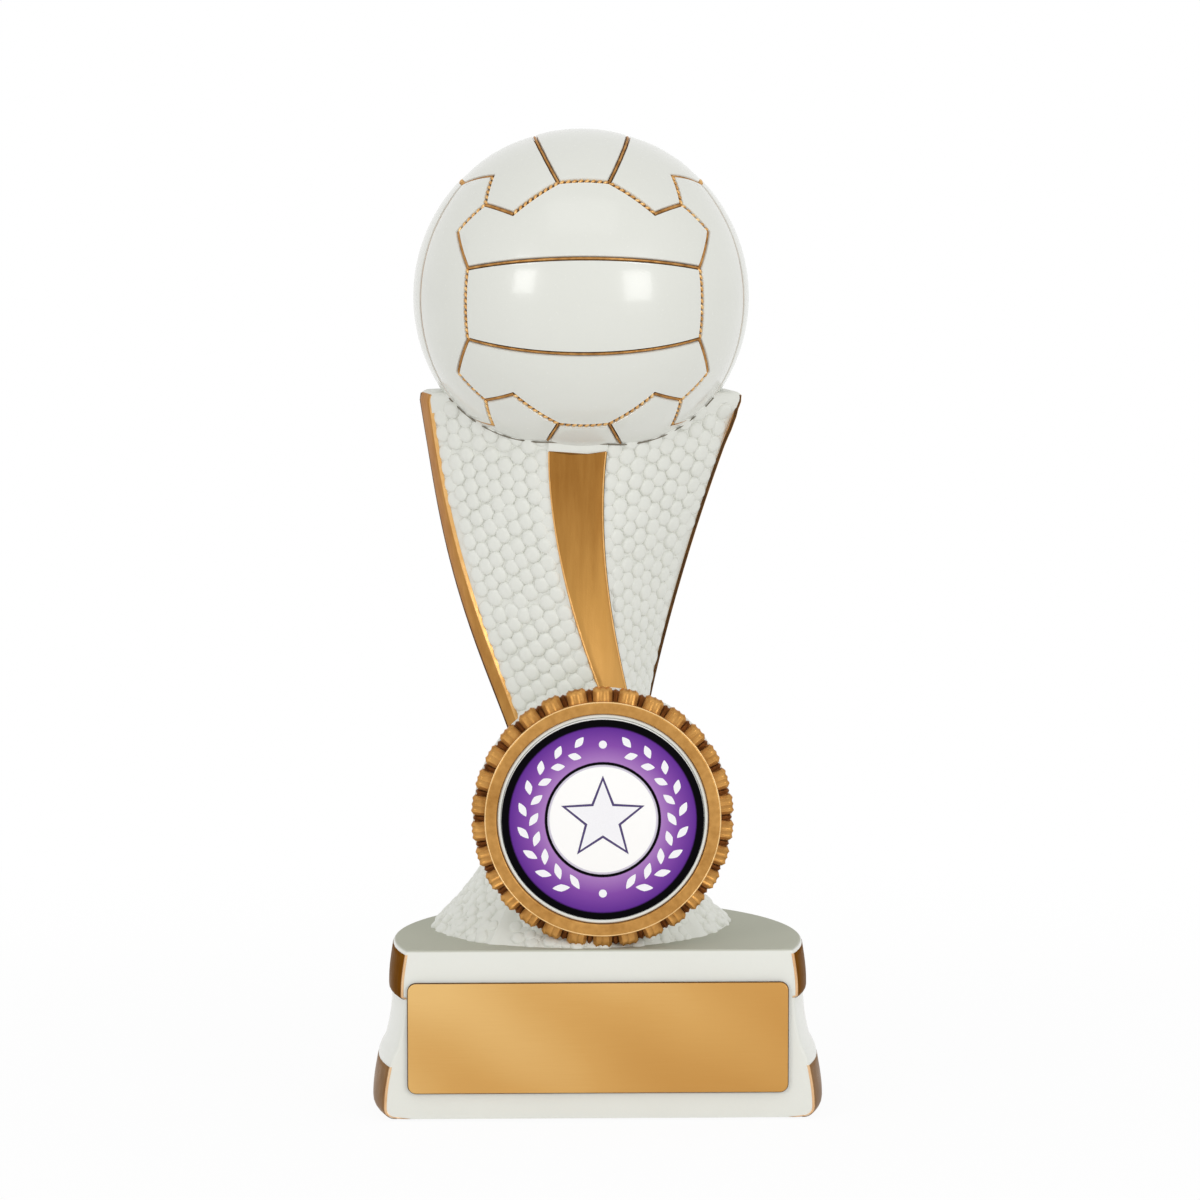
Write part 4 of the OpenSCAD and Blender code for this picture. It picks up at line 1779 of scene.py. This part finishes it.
@dataclass
class Medallion:
    """The holder, the toothed gold ring and the printed insert."""

    plinth_top: float = 21.4
    x: float = 0.4
    face_y: float = 20.0
    insert_r: float = 12.5
    insert_t: float = 0.8
    tape_t: float = 0.2
    recess_wall: float = 0.45
    gap: float = 0.05
    ring_w: float = 1.5
    tooth_h: float = 1.65
    teeth: int = 30
    tooth_w: float = 2.35
    tooth_root: float = 0.2
    tooth_r: float = 0.5
    depth: float = 2.6
    setback: float = 0.7
    backing_t: float = 1.4
    backing_lip: float = -0.25
    seat_y: float = 8.025
    seat_r: float = 9.2
    lip_r: float = 0.3
    groove_in: float = 0.45
    groove_drop: float = 0.6
    bead_r: float = 0.09
    print_rim: float = 0.95
    print_field_r: float = 7.0
    print_line: float = 0.22
    ink_t: float = 0.03
    leaf_pairs: int = 9
    leaf_from: float = 24.0
    leaf_step: float = 16.5

    def __post_init__(self) -> None:
        """Works out the rings from the insert outwards."""
        self.recess_r = self.insert_r + self.gap
        self.hub_r = self.recess_r + self.recess_wall
        self.inner_r = self.hub_r + self.gap
        self.face_r = self.inner_r + self.ring_w
        self.outer_r = self.face_r + self.tooth_h
        self.backing_r = self.outer_r + self.backing_lip
        self.z = self.plinth_top + self.outer_r
        self.hub_y = self.face_y - self.setback / 2
        self.floor_y = self.hub_y - self.insert_t - self.tape_t
        self.print_y = self.floor_y + self.tape_t + self.insert_t
        self.back_y = self.face_y - self.depth

    @property
    def axis(self) -> Vector:
        """A point of the axis, in the column's axis plane."""
        return Vector((self.x, 0, self.z))

    def build_holder(self) -> None:
        """Publishes the white holder, cut off where it stands on the plinth."""
        back = self.back_y - self.backing_t
        wall = self.recess_wall
        line = [(0, self.seat_y - 2), (self.seat_r, self.seat_y - 2), (self.seat_r, self.seat_y)]
        line += [(self.face_r, back), (self.backing_r - self.lip_r, back)]
        line += [(self.backing_r, back + self.lip_r), (self.backing_r, self.back_y - self.lip_r)]
        line += [(self.backing_r - self.lip_r, self.back_y), (self.hub_r, self.back_y)]
        line += arc((self.hub_r - wall / 2, self.hub_y - wall / 2), wall / 2, 0, 180, 8)
        line += [(self.recess_r, self.floor_y), (0, self.floor_y)]
        mesh = lathe(line, self.axis, 128, closed=False)
        cut(mesh, (0, 0, self.plinth_top + 0.01), (0, 0, -1))
        Piece("medal_holder", RESIN, ("medal_boss",), 35).publish(mesh)

    def tooth(self, width: float, ridges: int, drop: float) -> bmesh.types.BMesh:
        """Returns one ribbed tooth at the top of the ring, sloping down outwards.

        Args:
            width: Its width.
            ridges: The number of its ridges.
            drop: How far its face and its tip lie below a full tooth's.

        Returns:
            The closed mesh.
        """
        size = Vector((width, self.depth - self.setback - drop, self.tooth_h + self.tooth_root - drop))
        mesh = box(size)
        across = [e for e in mesh.edges if abs(e.verts[0].co.x - e.verts[1].co.x) > 0.1]
        bmesh.ops.subdivide_edges(mesh, edges=across, cuts=11, use_grid_fill=True)
        rim = [e for e in mesh.edges if all(v.co.y < 0 and v.co.z > 0 for v in e.verts)]
        round_edges(mesh, rim, self.tooth_r, 3)
        for vert in mesh.verts:
            share = vert.co.x / size.x
            valley = abs(math.sin(share * math.pi * ridges)) ** 0.7 + 1.4 * abs(2 * share) ** 6
            if vert.co.y < 0:
                vert.co.y += 0.17 * valley + 0.12 * (vert.co.z / size.z + 0.5)
            if vert.co.z > 0:
                vert.co.z -= 0.13 * valley
        middle = Vector((self.x, -(self.back_y + size.y / 2), self.z + self.outer_r - drop - size.z / 2))
        bmesh.ops.translate(mesh, vec=middle, verts=mesh.verts)
        return mesh

    def build_ring(self) -> None:
        """Publishes the ring's smooth face, its dark groove, its teeth and a bead of painted highlight round
        the face.
        """
        edge = self.ring_w / 4
        line = [(self.inner_r, self.back_y), (self.face_r, self.back_y)]
        line += arc((self.face_r - edge * 0.7, self.face_y - edge * 0.7), edge * 0.7, 0, 90, 6)
        line += arc((self.inner_r + edge / 2, self.face_y - edge / 2), edge / 2, 90, 180, 4)
        Piece("ring_face", RING_GOLD, ("medal_ring",), 38).publish(lathe(line, self.axis, 180))
        floor_y = self.face_y - self.setback - self.groove_drop
        inner, outer = self.face_r - 0.2, self.outer_r - self.groove_in
        line = [(inner, self.back_y), (outer, self.back_y), (outer, floor_y - 0.5), (inner, floor_y)]
        Piece("ring_groove", RING_DARK, ("medal_ring",), 38).publish(lathe(line, self.axis, 120))
        for name, finish, width, ridges, drop, lag in (
            ("ring_teeth", RING_GOLD, self.tooth_w, 3, 0.0, 0.0),
            ("ring_ribs", RING_DARK, 0.6, 1, 0.25, 0.5),
        ):
            tooth = self.tooth(width, ridges, drop)
            turn = Matrix.Rotation(math.tau * lag / self.teeth, 3, "Y")
            bmesh.ops.rotate(tooth, cent=self.axis, matrix=turn, verts=tooth.verts)
            whole = tooth.verts[:] + tooth.edges[:] + tooth.faces[:]
            sweep(tooth, whole, self.axis, AWAY, self.teeth, use_duplicate=True)
            Piece(name, finish, ("medal_ring",), 30).publish(tooth)
        # A bead of pale gold round the face's outer edge: a painted highlight.
        bead = arc((self.face_r - 0.07, self.face_y - self.bead_r), self.bead_r, 0, 324, 9)
        Piece("ring_edge", RING_HIGHLIGHT, ("medal_ring",), 60).publish(lathe(bead, self.axis, 160))

    def build_insert(self) -> None:
        """Publishes the printed disc, with a softened edge."""
        back = self.print_y - self.insert_t
        face = self.print_y
        edge = 0.15
        line = [(0, back), (self.insert_r, back), (self.insert_r, face - edge)]
        line += [(self.insert_r - edge * 0.3, face - edge * 0.3), (self.insert_r - edge, face), (0, face)]
        rings = (self.insert_r, self.insert_r - self.print_rim, self.print_field_r, self.print_line)
        finish = PrintedDisc("insert_print", "printed_insert", tuple(self.axis), *rings)
        Piece("printed_disc", finish, ("insert_disc",), 40).publish(lathe(line, self.axis, 160, closed=False))

    def build_motifs(self) -> None:
        """Publishes the wreath and the outlined star of the print."""
        white = Ink("ink_white", "printed_insert", paint(248, 247, 250))
        violet = Ink("ink_violet", "printed_insert", paint(58, 34, 100))
        leaves = bmesh.new()
        for hand in (-1, 1):
            for i in range(self.leaf_pairs):
                swing = math.radians(self.leaf_from + i * self.leaf_step) * hand
                for row, radius, lean in ((0, 8.5, 34), (1, 9.95, -34)):
                    a = swing + hand * row * math.radians(7)
                    turn = Matrix.Rotation(math.radians(lean * hand), 4, "Y")
                    place = Matrix.Rotation(a, 4, "Y") @ Matrix.Translation((0, 0, -radius)) @ turn
                    self._print(leaves, self._leaf(1.08 - 0.03 * i, 0.46), place)
        for a in (0.0, math.pi):
            place = Matrix.Rotation(a, 4, "Y") @ Matrix.Translation((0, 0, -9.25))
            self._print(leaves, self._leaf(0.5, 0.5), place)
        Piece("wreath_print", white, (), 40).publish(leaves)
        for name, ink, reach, waist, lift in (
            ("star_print", violet, 5.4, 2.35, 0.0),
            ("star_heart_print", white, 4.75, 2.0, self.ink_t),
        ):
            star = bmesh.new()
            self._print(star, self._star(reach, waist), Matrix.Translation((0, -lift, 0)))
            Piece(name, ink, (), 40).publish(star)

    def _print(self, target: bmesh.types.BMesh, motif: bmesh.types.BMesh, place: Matrix) -> None:
        """Thickens a flat motif and adds it to the insert's face at a place.

        Args:
            target: The print so far.
            motif: The motif, which is freed.
            place: Its place.
        """
        grown = bmesh.ops.extrude_face_region(motif, geom=motif.faces[:])["geom"]
        bmesh.ops.translate(motif, vec=Vector((0, -self.ink_t, 0)), verts=keep_verts(grown))
        data = to_data(motif, "motif")
        stamp(target, data, Matrix.Translation((self.x, -self.print_y, self.z)) @ place)
        bpy.data.meshes.remove(data)

    @staticmethod
    def _leaf(half_length: float, half_width: float) -> bmesh.types.BMesh:
        """Returns a flat pointed leaf that lies along X, or a dot where both sizes are equal.

        Args:
            half_length: Half the leaf's length.
            half_width: Half its width.

        Returns:
            The flat mesh.
        """
        mesh = bmesh.new()
        bmesh.ops.create_circle(mesh, cap_ends=True, segments=16, radius=1.0)
        bmesh.ops.rotate(mesh, matrix=Matrix.Rotation(math.pi / 2, 3, "X"), verts=mesh.verts)
        for vert in mesh.verts:
            taper = max(0.0, 1 - abs(vert.co.x)) ** 0.35 if half_length > half_width else 1.0
            vert.co = Vector((vert.co.x * half_length, 0, vert.co.z * half_width * taper))
        return mesh

    @staticmethod
    def _star(reach: float, waist: float) -> bmesh.types.BMesh:
        """Returns a flat five-pointed star in the XZ plane.

        Args:
            reach: The radius of its tips.
            waist: The radius between them.

        Returns:
            The flat mesh.
        """
        mesh = bmesh.new()
        verts = bmesh.ops.create_circle(mesh, cap_ends=True, segments=10, radius=1.0)["verts"]
        for i, vert in enumerate(verts):
            radius, a = (waist if i % 2 else reach), math.tau * i / 10
            vert.co = Vector((radius * math.sin(a), 0, radius * math.cos(a)))
        return mesh

    def build(self) -> None:
        """Publishes every piece of the medallion."""
        self.build_holder()
        self.build_ring()
        self.build_insert()
        self.build_motifs()


# Ball


class Edge(Enum):
    """Direction of an edge of the cube on which the ball's seams lie."""

    X = "x"
    Y = "y"
    Z = "z"

    @property
    def strip_end(self) -> float:
        """Share along such an edge at which a strip line meets the seam."""
        return {Edge.X: 0.147, Edge.Y: 0.19, Edge.Z: 0.21}[self]

    @property
    def roped_kink(self) -> bool:
        """Whether the seam is roped between the corner and the kink."""
        return self is not Edge.X


@dataclass(frozen=True)
class BallFace:
    """One of the ball's six faces and its three strips."""

    name: str
    turns: tuple[float, float, float]
    end_edge: Edge
    side_edge: Edge
    strips: tuple[str, str, str]

    @property
    def matrix(self) -> Matrix:
        """Rotation from the face's own frame to the ball's."""
        x, y, z = (math.radians(turn) for turn in self.turns)
        return Matrix.Rotation(z, 3, "Z") @ Matrix.Rotation(y, 3, "Y") @ Matrix.Rotation(x, 3, "X")


BALL_FACES = (
    BallFace("front", (90, 0, 0), Edge.Z, Edge.X, ("upper", "middle", "lower")),
    BallFace("back", (90, 0, 180), Edge.Z, Edge.X, ("upper", "middle", "lower")),
    BallFace("top", (0, 0, 90), Edge.X, Edge.Y, ("left", "middle", "right")),
    BallFace("bottom", (180, 0, 90), Edge.X, Edge.Y, ("right", "middle", "left")),
    BallFace("left", (0, -90, 0), Edge.Y, Edge.Z, ("back", "middle", "front")),
    BallFace("right", (0, 90, 0), Edge.Y, Edge.Z, ("back", "middle", "front")),
)


@dataclass
class Ball:
    """The netball: eighteen pillowed panels over a gold core, with cords and ropes in the seams."""

    centre_x: float = -1.8
    centre_z: float = 100.7
    radius: float = 21.0
    panel_t: float = 0.6
    groove: float = 0.5
    strip_centre: float = 0.292
    cord_r: float = 0.16
    bead: float = 0.78
    strand: tuple[float, float, float] = (0.44, 0.22, 0.29)
    strand_slant: float = 38.0
    strand_depth: float = 0.3

    corner: Vector = Vector((1, 1, 1)).normalized()
    kink: Vector = Vector((0.415, 0.74, 0.53)).normalized()
    middle: Vector = Vector((0, 0.695, 0.72)).normalized()

    @property
    def centre(self) -> Vector:
        """Middle of the ball."""
        return Vector((self.centre_x, 0, self.centre_z))

    @staticmethod
    def strip_point(edge: Edge) -> Vector:
        """Point of a seam at which a strip line meets it."""
        return Vector((edge.strip_end, 0.685, 0.705)).normalized()

    @staticmethod
    def on_side(spot: Vector) -> Vector:
        """Places a seam point on the side of a face."""
        return Vector((spot.x, spot.z, spot.y))

    @staticmethod
    def on_end(spot: Vector) -> Vector:
        """Places a seam point on the end of a face's strips."""
        return Vector((spot.y, spot.x, spot.z))

    def strip_line(self, end_edge: Edge) -> list[Vector]:
        """Returns the line above the middle strip, from left to right.

        Args:
            end_edge: Direction of the edges where the strips end.

        Returns:
            The line's points, as unit vectors.
        """
        end = self.on_end(self.strip_point(end_edge))
        u, v = end.x / end.z, end.y / end.z
        places = []
        for i in range(11):
            share = 2 * i / 10 - 1
            places.append(Vector((u * share, blend_to(self.strip_centre, v, share * share), 1)).normalized())
        return places

    def seam_line(self, end_edge: Edge, side_edge: Edge) -> list[Vector]:
        """Returns the seam above the outer strip, with as many points as the strip line.

        Args:
            end_edge: Direction of the edges where the strips end.
            side_edge: Direction of the edges beside the strips.

        Returns:
            The seam's points, as unit vectors.
        """
        half = [
            self.on_side(self.middle),
            self.on_side(self.strip_point(side_edge)),
            self.on_side(self.kink),
            self.corner.copy(),
            self.on_end(self.kink),
            self.on_end(self.strip_point(end_edge)),
        ]
        return [Vector((-p.x, p.y, p.z)) for p in half[:0:-1]] + half

    def rails(self, face: BallFace, strip: int) -> list[list[Vector]]:
        """Returns the lines between which a panel is laddered, in the face's frame.

        Args:
            face: The ball's face.
            strip: 0, 1 or 2 for the upper, middle or lower strip.

        Returns:
            The lines, as unit vectors.
        """
        line = self.strip_line(face.end_edge)
        if strip != 1:
            return [line, self.seam_line(face.end_edge, face.side_edge)]
        tip = self.on_end(self.middle)
        last = len(line) - 1
        axis = [Vector((tip.x / tip.z * (2 * i / last - 1), 0, 1)).normalized() for i in range(last + 1)]
        return [[Vector((p.x, -p.y, p.z)) for p in line], axis, line]

    def panel(self, face: BallFace, strip: int) -> bmesh.types.BMesh:
        """Makes one panel: ladders of faces, finely cut, rounded at the border.

        Args:
            face: The ball's face.
            strip: 0, 1 or 2 for the upper, middle or lower strip.

        Returns:
            The closed mesh.
        """
        mesh = bmesh.new()
        rails = [[mesh.verts.new(p * self.radius) for p in rail] for rail in self.rails(face, strip)]
        same = bmesh.ops.find_doubles(mesh, verts=mesh.verts, dist=1e-5)["targetmap"]
        for low, high in zip(rails, rails[1:]):
            for ends in zip(low, low[1:], high[1:], high):
                bmesh.ops.contextual_create(mesh, geom=list(dict.fromkeys(same.get(v, v) for v in ends)))
        bmesh.ops.remove_doubles(mesh, verts=mesh.verts, dist=1e-5)
        mesh.normal_update()
        inward = [f for f in mesh.faces if f.normal.dot(f.calc_center_median()) < 0]
        bmesh.ops.reverse_faces(mesh, faces=inward)
        self._refine(mesh, 2)
        self._trim_border(mesh)
        self._round_border(mesh)
        place = face.matrix.to_4x4()
        if strip == 2:
            place = place @ Matrix.Rotation(math.pi, 4, "Z")
        mesh.transform(Matrix.Translation(self.centre) @ place)
        return mesh

    @staticmethod
    def _refine(mesh: bmesh.types.BMesh, cuts: int) -> None:
        """Cuts every edge and lifts the new points to the height of their neighbours.

        Args:
            mesh: The panel.
            cuts: The number of cuts of each edge.
        """
        height = mesh.verts.layers.float.new("height")
        for vert in mesh.verts:
            vert[height] = vert.co.length
        bmesh.ops.subdivide_edges(mesh, edges=mesh.edges, cuts=cuts, use_grid_fill=True)
        for vert in mesh.verts:
            vert.co = vert.co.normalized() * vert[height]
        mesh.verts.layers.float.remove(height)

    @staticmethod
    def _inset(
        mesh: bmesh.types.BMesh, faces: Sequence[bmesh.types.BMFace], width: float
    ) -> list[bmesh.types.BMFace]:
        """Insets faces from their border and returns the new faces of the rim.

        Args:
            mesh: The panel.
            faces: The faces.
            width: The rim's width.

        Returns:
            The rim's faces.
        """
        return bmesh.ops.inset_region(
            mesh, faces=faces, thickness=width, use_boundary=True, use_even_offset=True
        )["faces"]

    def _trim_border(self, mesh: bmesh.types.BMesh) -> None:
        """Takes half a groove off a panel's border."""
        rim = self._inset(mesh, mesh.faces[:], self.groove / 2)
        bmesh.ops.delete(mesh, geom=rim, context="FACES")

    def _round_border(self, mesh: bmesh.types.BMesh) -> None:
        """Rounds a panel's edge down to a wall that stands on the core.

        Args:
            mesh: The panel.
        """
        inner = mesh.faces[:]
        drops = {}
        for width, drop in ((0.09, 0.2), (0.13, 0.07), (0.2, 0.015)):
            drops.update((v, drop) for e in self._border(inner) for v in e.verts)
            self._inset(mesh, inner, width)
        for vert, drop in drops.items():
            vert.co *= 1 - drop / self.radius
        self._refine(mesh, 1)
        rim = [edge for edge in mesh.edges if edge.is_boundary]
        grown = bmesh.ops.extrude_edge_only(mesh, edges=rim)["geom"]
        for vert in keep_verts(grown):
            vert.co = vert.co.normalized() * (self.radius - self.panel_t - 0.1)
        bmesh.ops.holes_fill(mesh, edges=mesh.edges, sides=0)

    @staticmethod
    def _border(faces: Sequence[bmesh.types.BMFace]) -> list[bmesh.types.BMEdge]:
        """Returns the edges that only one of the faces uses.

        Args:
            faces: The faces.

        Returns:
            The edges.
        """
        inside = set(faces)
        edges = {e for face in faces for e in face.edges}
        return [e for e in edges if sum(f in inside for f in e.link_faces) == 1]

    def build_panels(self) -> None:
        """Publishes the eighteen panels."""
        for face in BALL_FACES:
            for strip, word in enumerate(face.strips):
                name = f"{face.name}_{word}"
                Piece(f"ball_{name}", BALL_WHITE, (f"panel_{name}",), 50).publish(self.panel(face, strip))

    def runs(self) -> tuple[list[list[Vector]], list[list[Vector]], list[list[Vector]]]:
        """Returns the seam runs that hold a thin cord, a thick cord and a rope.

        Returns:
            The three lists of runs, as unit vectors.
        """
        thin, thick, ropes = [], [], []
        for face in BALL_FACES:
            seam = self.seam_line(face.end_edge, face.side_edge)[2:-2]
            parts = [(thin, self.strip_line(face.end_edge))]
            if face.side_edge.roped_kink:
                parts += [(ropes, seam[:2]), (ropes, seam[-2:]), (ropes, seam[2:-2])]
                parts += [(thick, seam[1:3]), (thick, seam[-3:-1])]
            else:
                parts += [(thick, seam[:2]), (thick, seam[-2:]), (ropes, seam[1:-1])]
            for angle in (0, math.pi):
                turn = face.matrix @ Matrix.Rotation(angle, 3, "Z")
                for kind, part in parts:
                    kind.append([turn @ p for p in part])
        return thin, thick, ropes

    def spaced(self, run: Sequence[Vector], step: float, radius: float) -> list[Vector]:
        """Returns evenly spaced points along a run, on a sphere of a radius.

        Args:
            run: The run, as unit vectors.
            step: The spacing.
            radius: The sphere's radius.

        Returns:
            The points, from the ball's middle.
        """
        places = []
        for start, end in zip(run, run[1:]):
            span = start.angle(end) * radius
            count = max(1, round(span / step))
            places += [start.slerp(end, i / count) * radius for i in range(count)]
        return places + [run[-1] * radius]

    def build_cords(self, name: str, runs: Sequence[Sequence[Vector]], radius: float) -> None:
        """Publishes smooth cords of one radius as one mesh.

        Args:
            name: The piece's name.
            runs: The seam runs, as unit vectors.
            radius: The cords' radius.
        """
        reach = self.radius - radius - 0.12
        paths = [[p + self.centre for p in self.spaced(run, 0.7, reach)] for run in runs]
        Piece(name, CORD_GOLD, (), 60).publish(cords(paths, radius))

    def build_ropes(self, runs: Sequence[Sequence[Vector]]) -> None:
        """Publishes the twisted ropes of the seams as slanting strands.

        Args:
            runs: The seam runs, as unit vectors.
        """
        strand = bmesh.new()
        bmesh.ops.create_icosphere(strand, subdivisions=2, radius=1.0)
        bmesh.ops.scale(strand, vec=Vector(self.strand), verts=strand.verts)
        data = to_data(strand, "strand")
        slant = Matrix.Rotation(math.radians(self.strand_slant), 4, "Z")
        target = bmesh.new()
        for run in runs:
            places = self.spaced(run, self.bead, self.radius - self.strand_depth)
            for here, ahead in zip(places, places[1:]):
                spot = (here + ahead) / 2
                turn = frame_of((ahead - here).normalized(), spot.normalized())
                stamp(target, data, Matrix.Translation(spot + self.centre) @ turn @ slant)
        bpy.data.meshes.remove(data)
        Piece("seam_ropes", ROPE_GOLD, (), 60).publish(target)

    def build(self) -> None:
        """Publishes every piece of the ball."""
        self.build_panels()
        thin, thick, ropes = self.runs()
        self.build_cords("seam_cords", thin, self.cord_r)
        self.build_cords("kink_cords", thick, self.cord_r * 1.35)
        self.build_ropes(ropes)


# Solids that stay


def dress_solids(nodes: dict[str, bpy.types.Object]) -> None:
    """Gives the solids that stay their finishes.

    Args:
        nodes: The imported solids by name.
    """
    finishes = {
        "ball_core": SEAM_DARK,
        "check_rod": STEEL,
        "rod_washer": STEEL,
        "rod_nut": STEEL,
        "plate_tape": FOAM,
        "insert_tape": FOAM,
    }
    for name, finish in finishes.items():
        data = nodes[name].data
        if not data.materials:
            data.materials.append(finish.material())
        data.materials[0] = finish.material()
        LOG.info("%s keeps its solid", name)


# Studio


def towards(azimuth: float, elevation: float) -> Vector:
    """Returns the direction from the trophy to a place round it, by its angles in degrees."""
    a, e = math.radians(azimuth), math.radians(elevation)
    return Vector((math.sin(a) * math.cos(e), -math.cos(a) * math.cos(e), math.sin(e)))


def aim(name: str, data: bpy.types.ID, place: Sequence[float], ahead: Vector) -> bpy.types.Object:
    """Hangs a lamp or a camera at a place, in metres, so that it looks ahead.

    Args:
        name: The object's name.
        data: The lamp or the camera.
        place: Its place.
        ahead: The way that it looks.

    Returns:
        The new object.
    """
    made = hang(name, data)
    made.location = place
    made.rotation_euler = ahead.to_track_quat("-Z", "Y").to_euler()
    return made


@dataclass
class Lamp:
    """A rectangular soft lamp aimed at the trophy."""

    name: str
    azimuth: float
    elevation: float
    distance: float
    width: float
    height: float
    power: float

    def build(self, target: Vector) -> None:
        """Hangs the lamp round a target, in metres.

        Args:
            target: The target.
        """
        data = bpy.data.lights.new(self.name, "AREA")
        data.shape = "RECTANGLE"
        data.size = self.width
        data.size_y = self.height
        data.energy = self.power
        back = towards(self.azimuth, self.elevation)
        aim(self.name, data, target + back * self.distance, -back)


@dataclass
class Studio:
    """The camera, the lamps, the world and the pale floor."""

    eye: tuple[float, float, float] = (-0.01795, -0.7, 0.1406)
    yaw: float = 1.5154
    pitch: float = 6.3626
    sensor: float = 36.0
    focal_share: float = 5595.1 / 1200
    ambient: float = 0.71
    floor_half: float = 6.0
    floor_grey: float = 0.9
    shadow_reach: float = 0.12
    shadow_fade: float = 0.16
    shadow_share: float = 0.06

    def build_camera(self) -> None:
        """Sets up the camera at the photograph's viewing angle."""
        data = bpy.data.cameras.new("camera")
        data.sensor_width = self.sensor
        data.lens = self.sensor * self.focal_share
        data.clip_start = 0.05
        bpy.context.scene.camera = aim("camera", data, self.eye, -towards(-self.yaw, self.pitch))

    def build_lamps(self) -> None:
        """Hangs the two windows in front and a weak top light."""
        target = Vector((0, 0, 0.065))
        for lamp in (
            Lamp("window_left", -41, 16, 1.0, 0.25, 0.32, 1.35),
            Lamp("window_right", 38, 13, 1.0, 0.34, 0.38, 1.85),
            Lamp("top_light", 0, 62, 1.2, 0.9, 0.6, 1.0),
        ):
            lamp.build(target)

    def build_world(self) -> None:
        """Lights the world softly, and shows it white to the camera, gloss and glass."""
        world = bpy.data.worlds.new("soft_white")
        bpy.context.scene.world = world
        graph = Graph(world)
        strength = self.shown(graph) * (1 - self.ambient) + self.ambient
        light = graph.wire("ShaderNodeBackground", {"Color": (1, 1, 1, 1), "Strength": strength})
        graph.node("ShaderNodeOutputWorld", {"Surface": light})

    @staticmethod
    def shown(graph: Graph) -> Wire:
        """Returns a mask of the rays that see the backdrop itself.

        Args:
            graph: The material's or the world's graph.

        Returns:
            The mask.
        """
        rays = ("Is Camera Ray", "Is Glossy Ray", "Is Transmission Ray")
        camera, glossy, clear = (graph.wire("ShaderNodeLightPath", output=ray) for ray in rays)
        return graph.calculate("MINIMUM", camera + glossy + clear, 1.0)

    def build_floor(self) -> None:
        """Lays a wide pale floor that keeps the trophy's shadow."""
        material = bpy.data.materials.new("pale_floor")
        graph = Graph(material)
        grey = self.floor_grey
        matt = graph.wire("ShaderNodeBsdfDiffuse", {"Color": (grey, grey, grey, 1)})
        glow = graph.wire("ShaderNodeEmission", {"Color": (1, 1, 1, 1), "Strength": 1.0})
        x, y, _ = graph.axes(graph.wire("ShaderNodeTexCoord", output="Object"))
        away = ((x * x + y * y) ** 0.5).above(self.shadow_reach, self.shadow_fade)
        shown = self.shown(graph) * (away * self.shadow_share + (1 - self.shadow_share))
        both = graph.wire("ShaderNodeMixShader", {0: shown, 1: matt, 2: glow})
        graph.node("ShaderNodeOutputMaterial", {"Surface": both})
        mesh = bmesh.new()
        bmesh.ops.create_grid(mesh, x_segments=4, y_segments=4, size=self.floor_half)
        data = to_data(mesh, "floor")
        data.materials.append(material)
        floor = hang("floor", data)
        floor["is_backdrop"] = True

    def build(self) -> None:
        """Builds the whole studio."""
        bpy.context.scene.view_settings.view_transform = "Standard"
        self.build_camera()
        self.build_lamps()
        self.build_world()
        self.build_floor()


def corners(bounds: tuple[Vector, Vector]) -> list[list[float]]:
    """Returns a box as plain lists of numbers."""
    return [list(corner) for corner in bounds]


def main() -> None:
    """Loads the solids, builds each class in order and works out the two boxes."""
    logging.basicConfig(level=logging.INFO, format="%(message)s")
    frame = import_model()
    solid_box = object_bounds()
    dress_solids(frame["nodes"])
    for part in (Plinth(), NamePlate(), Column(), Medallion(), Ball(), Studio()):
        part.build()
    {"cad": corners(solid_box), "visual": corners(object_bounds())}


if __name__ == "__main__":
    main()
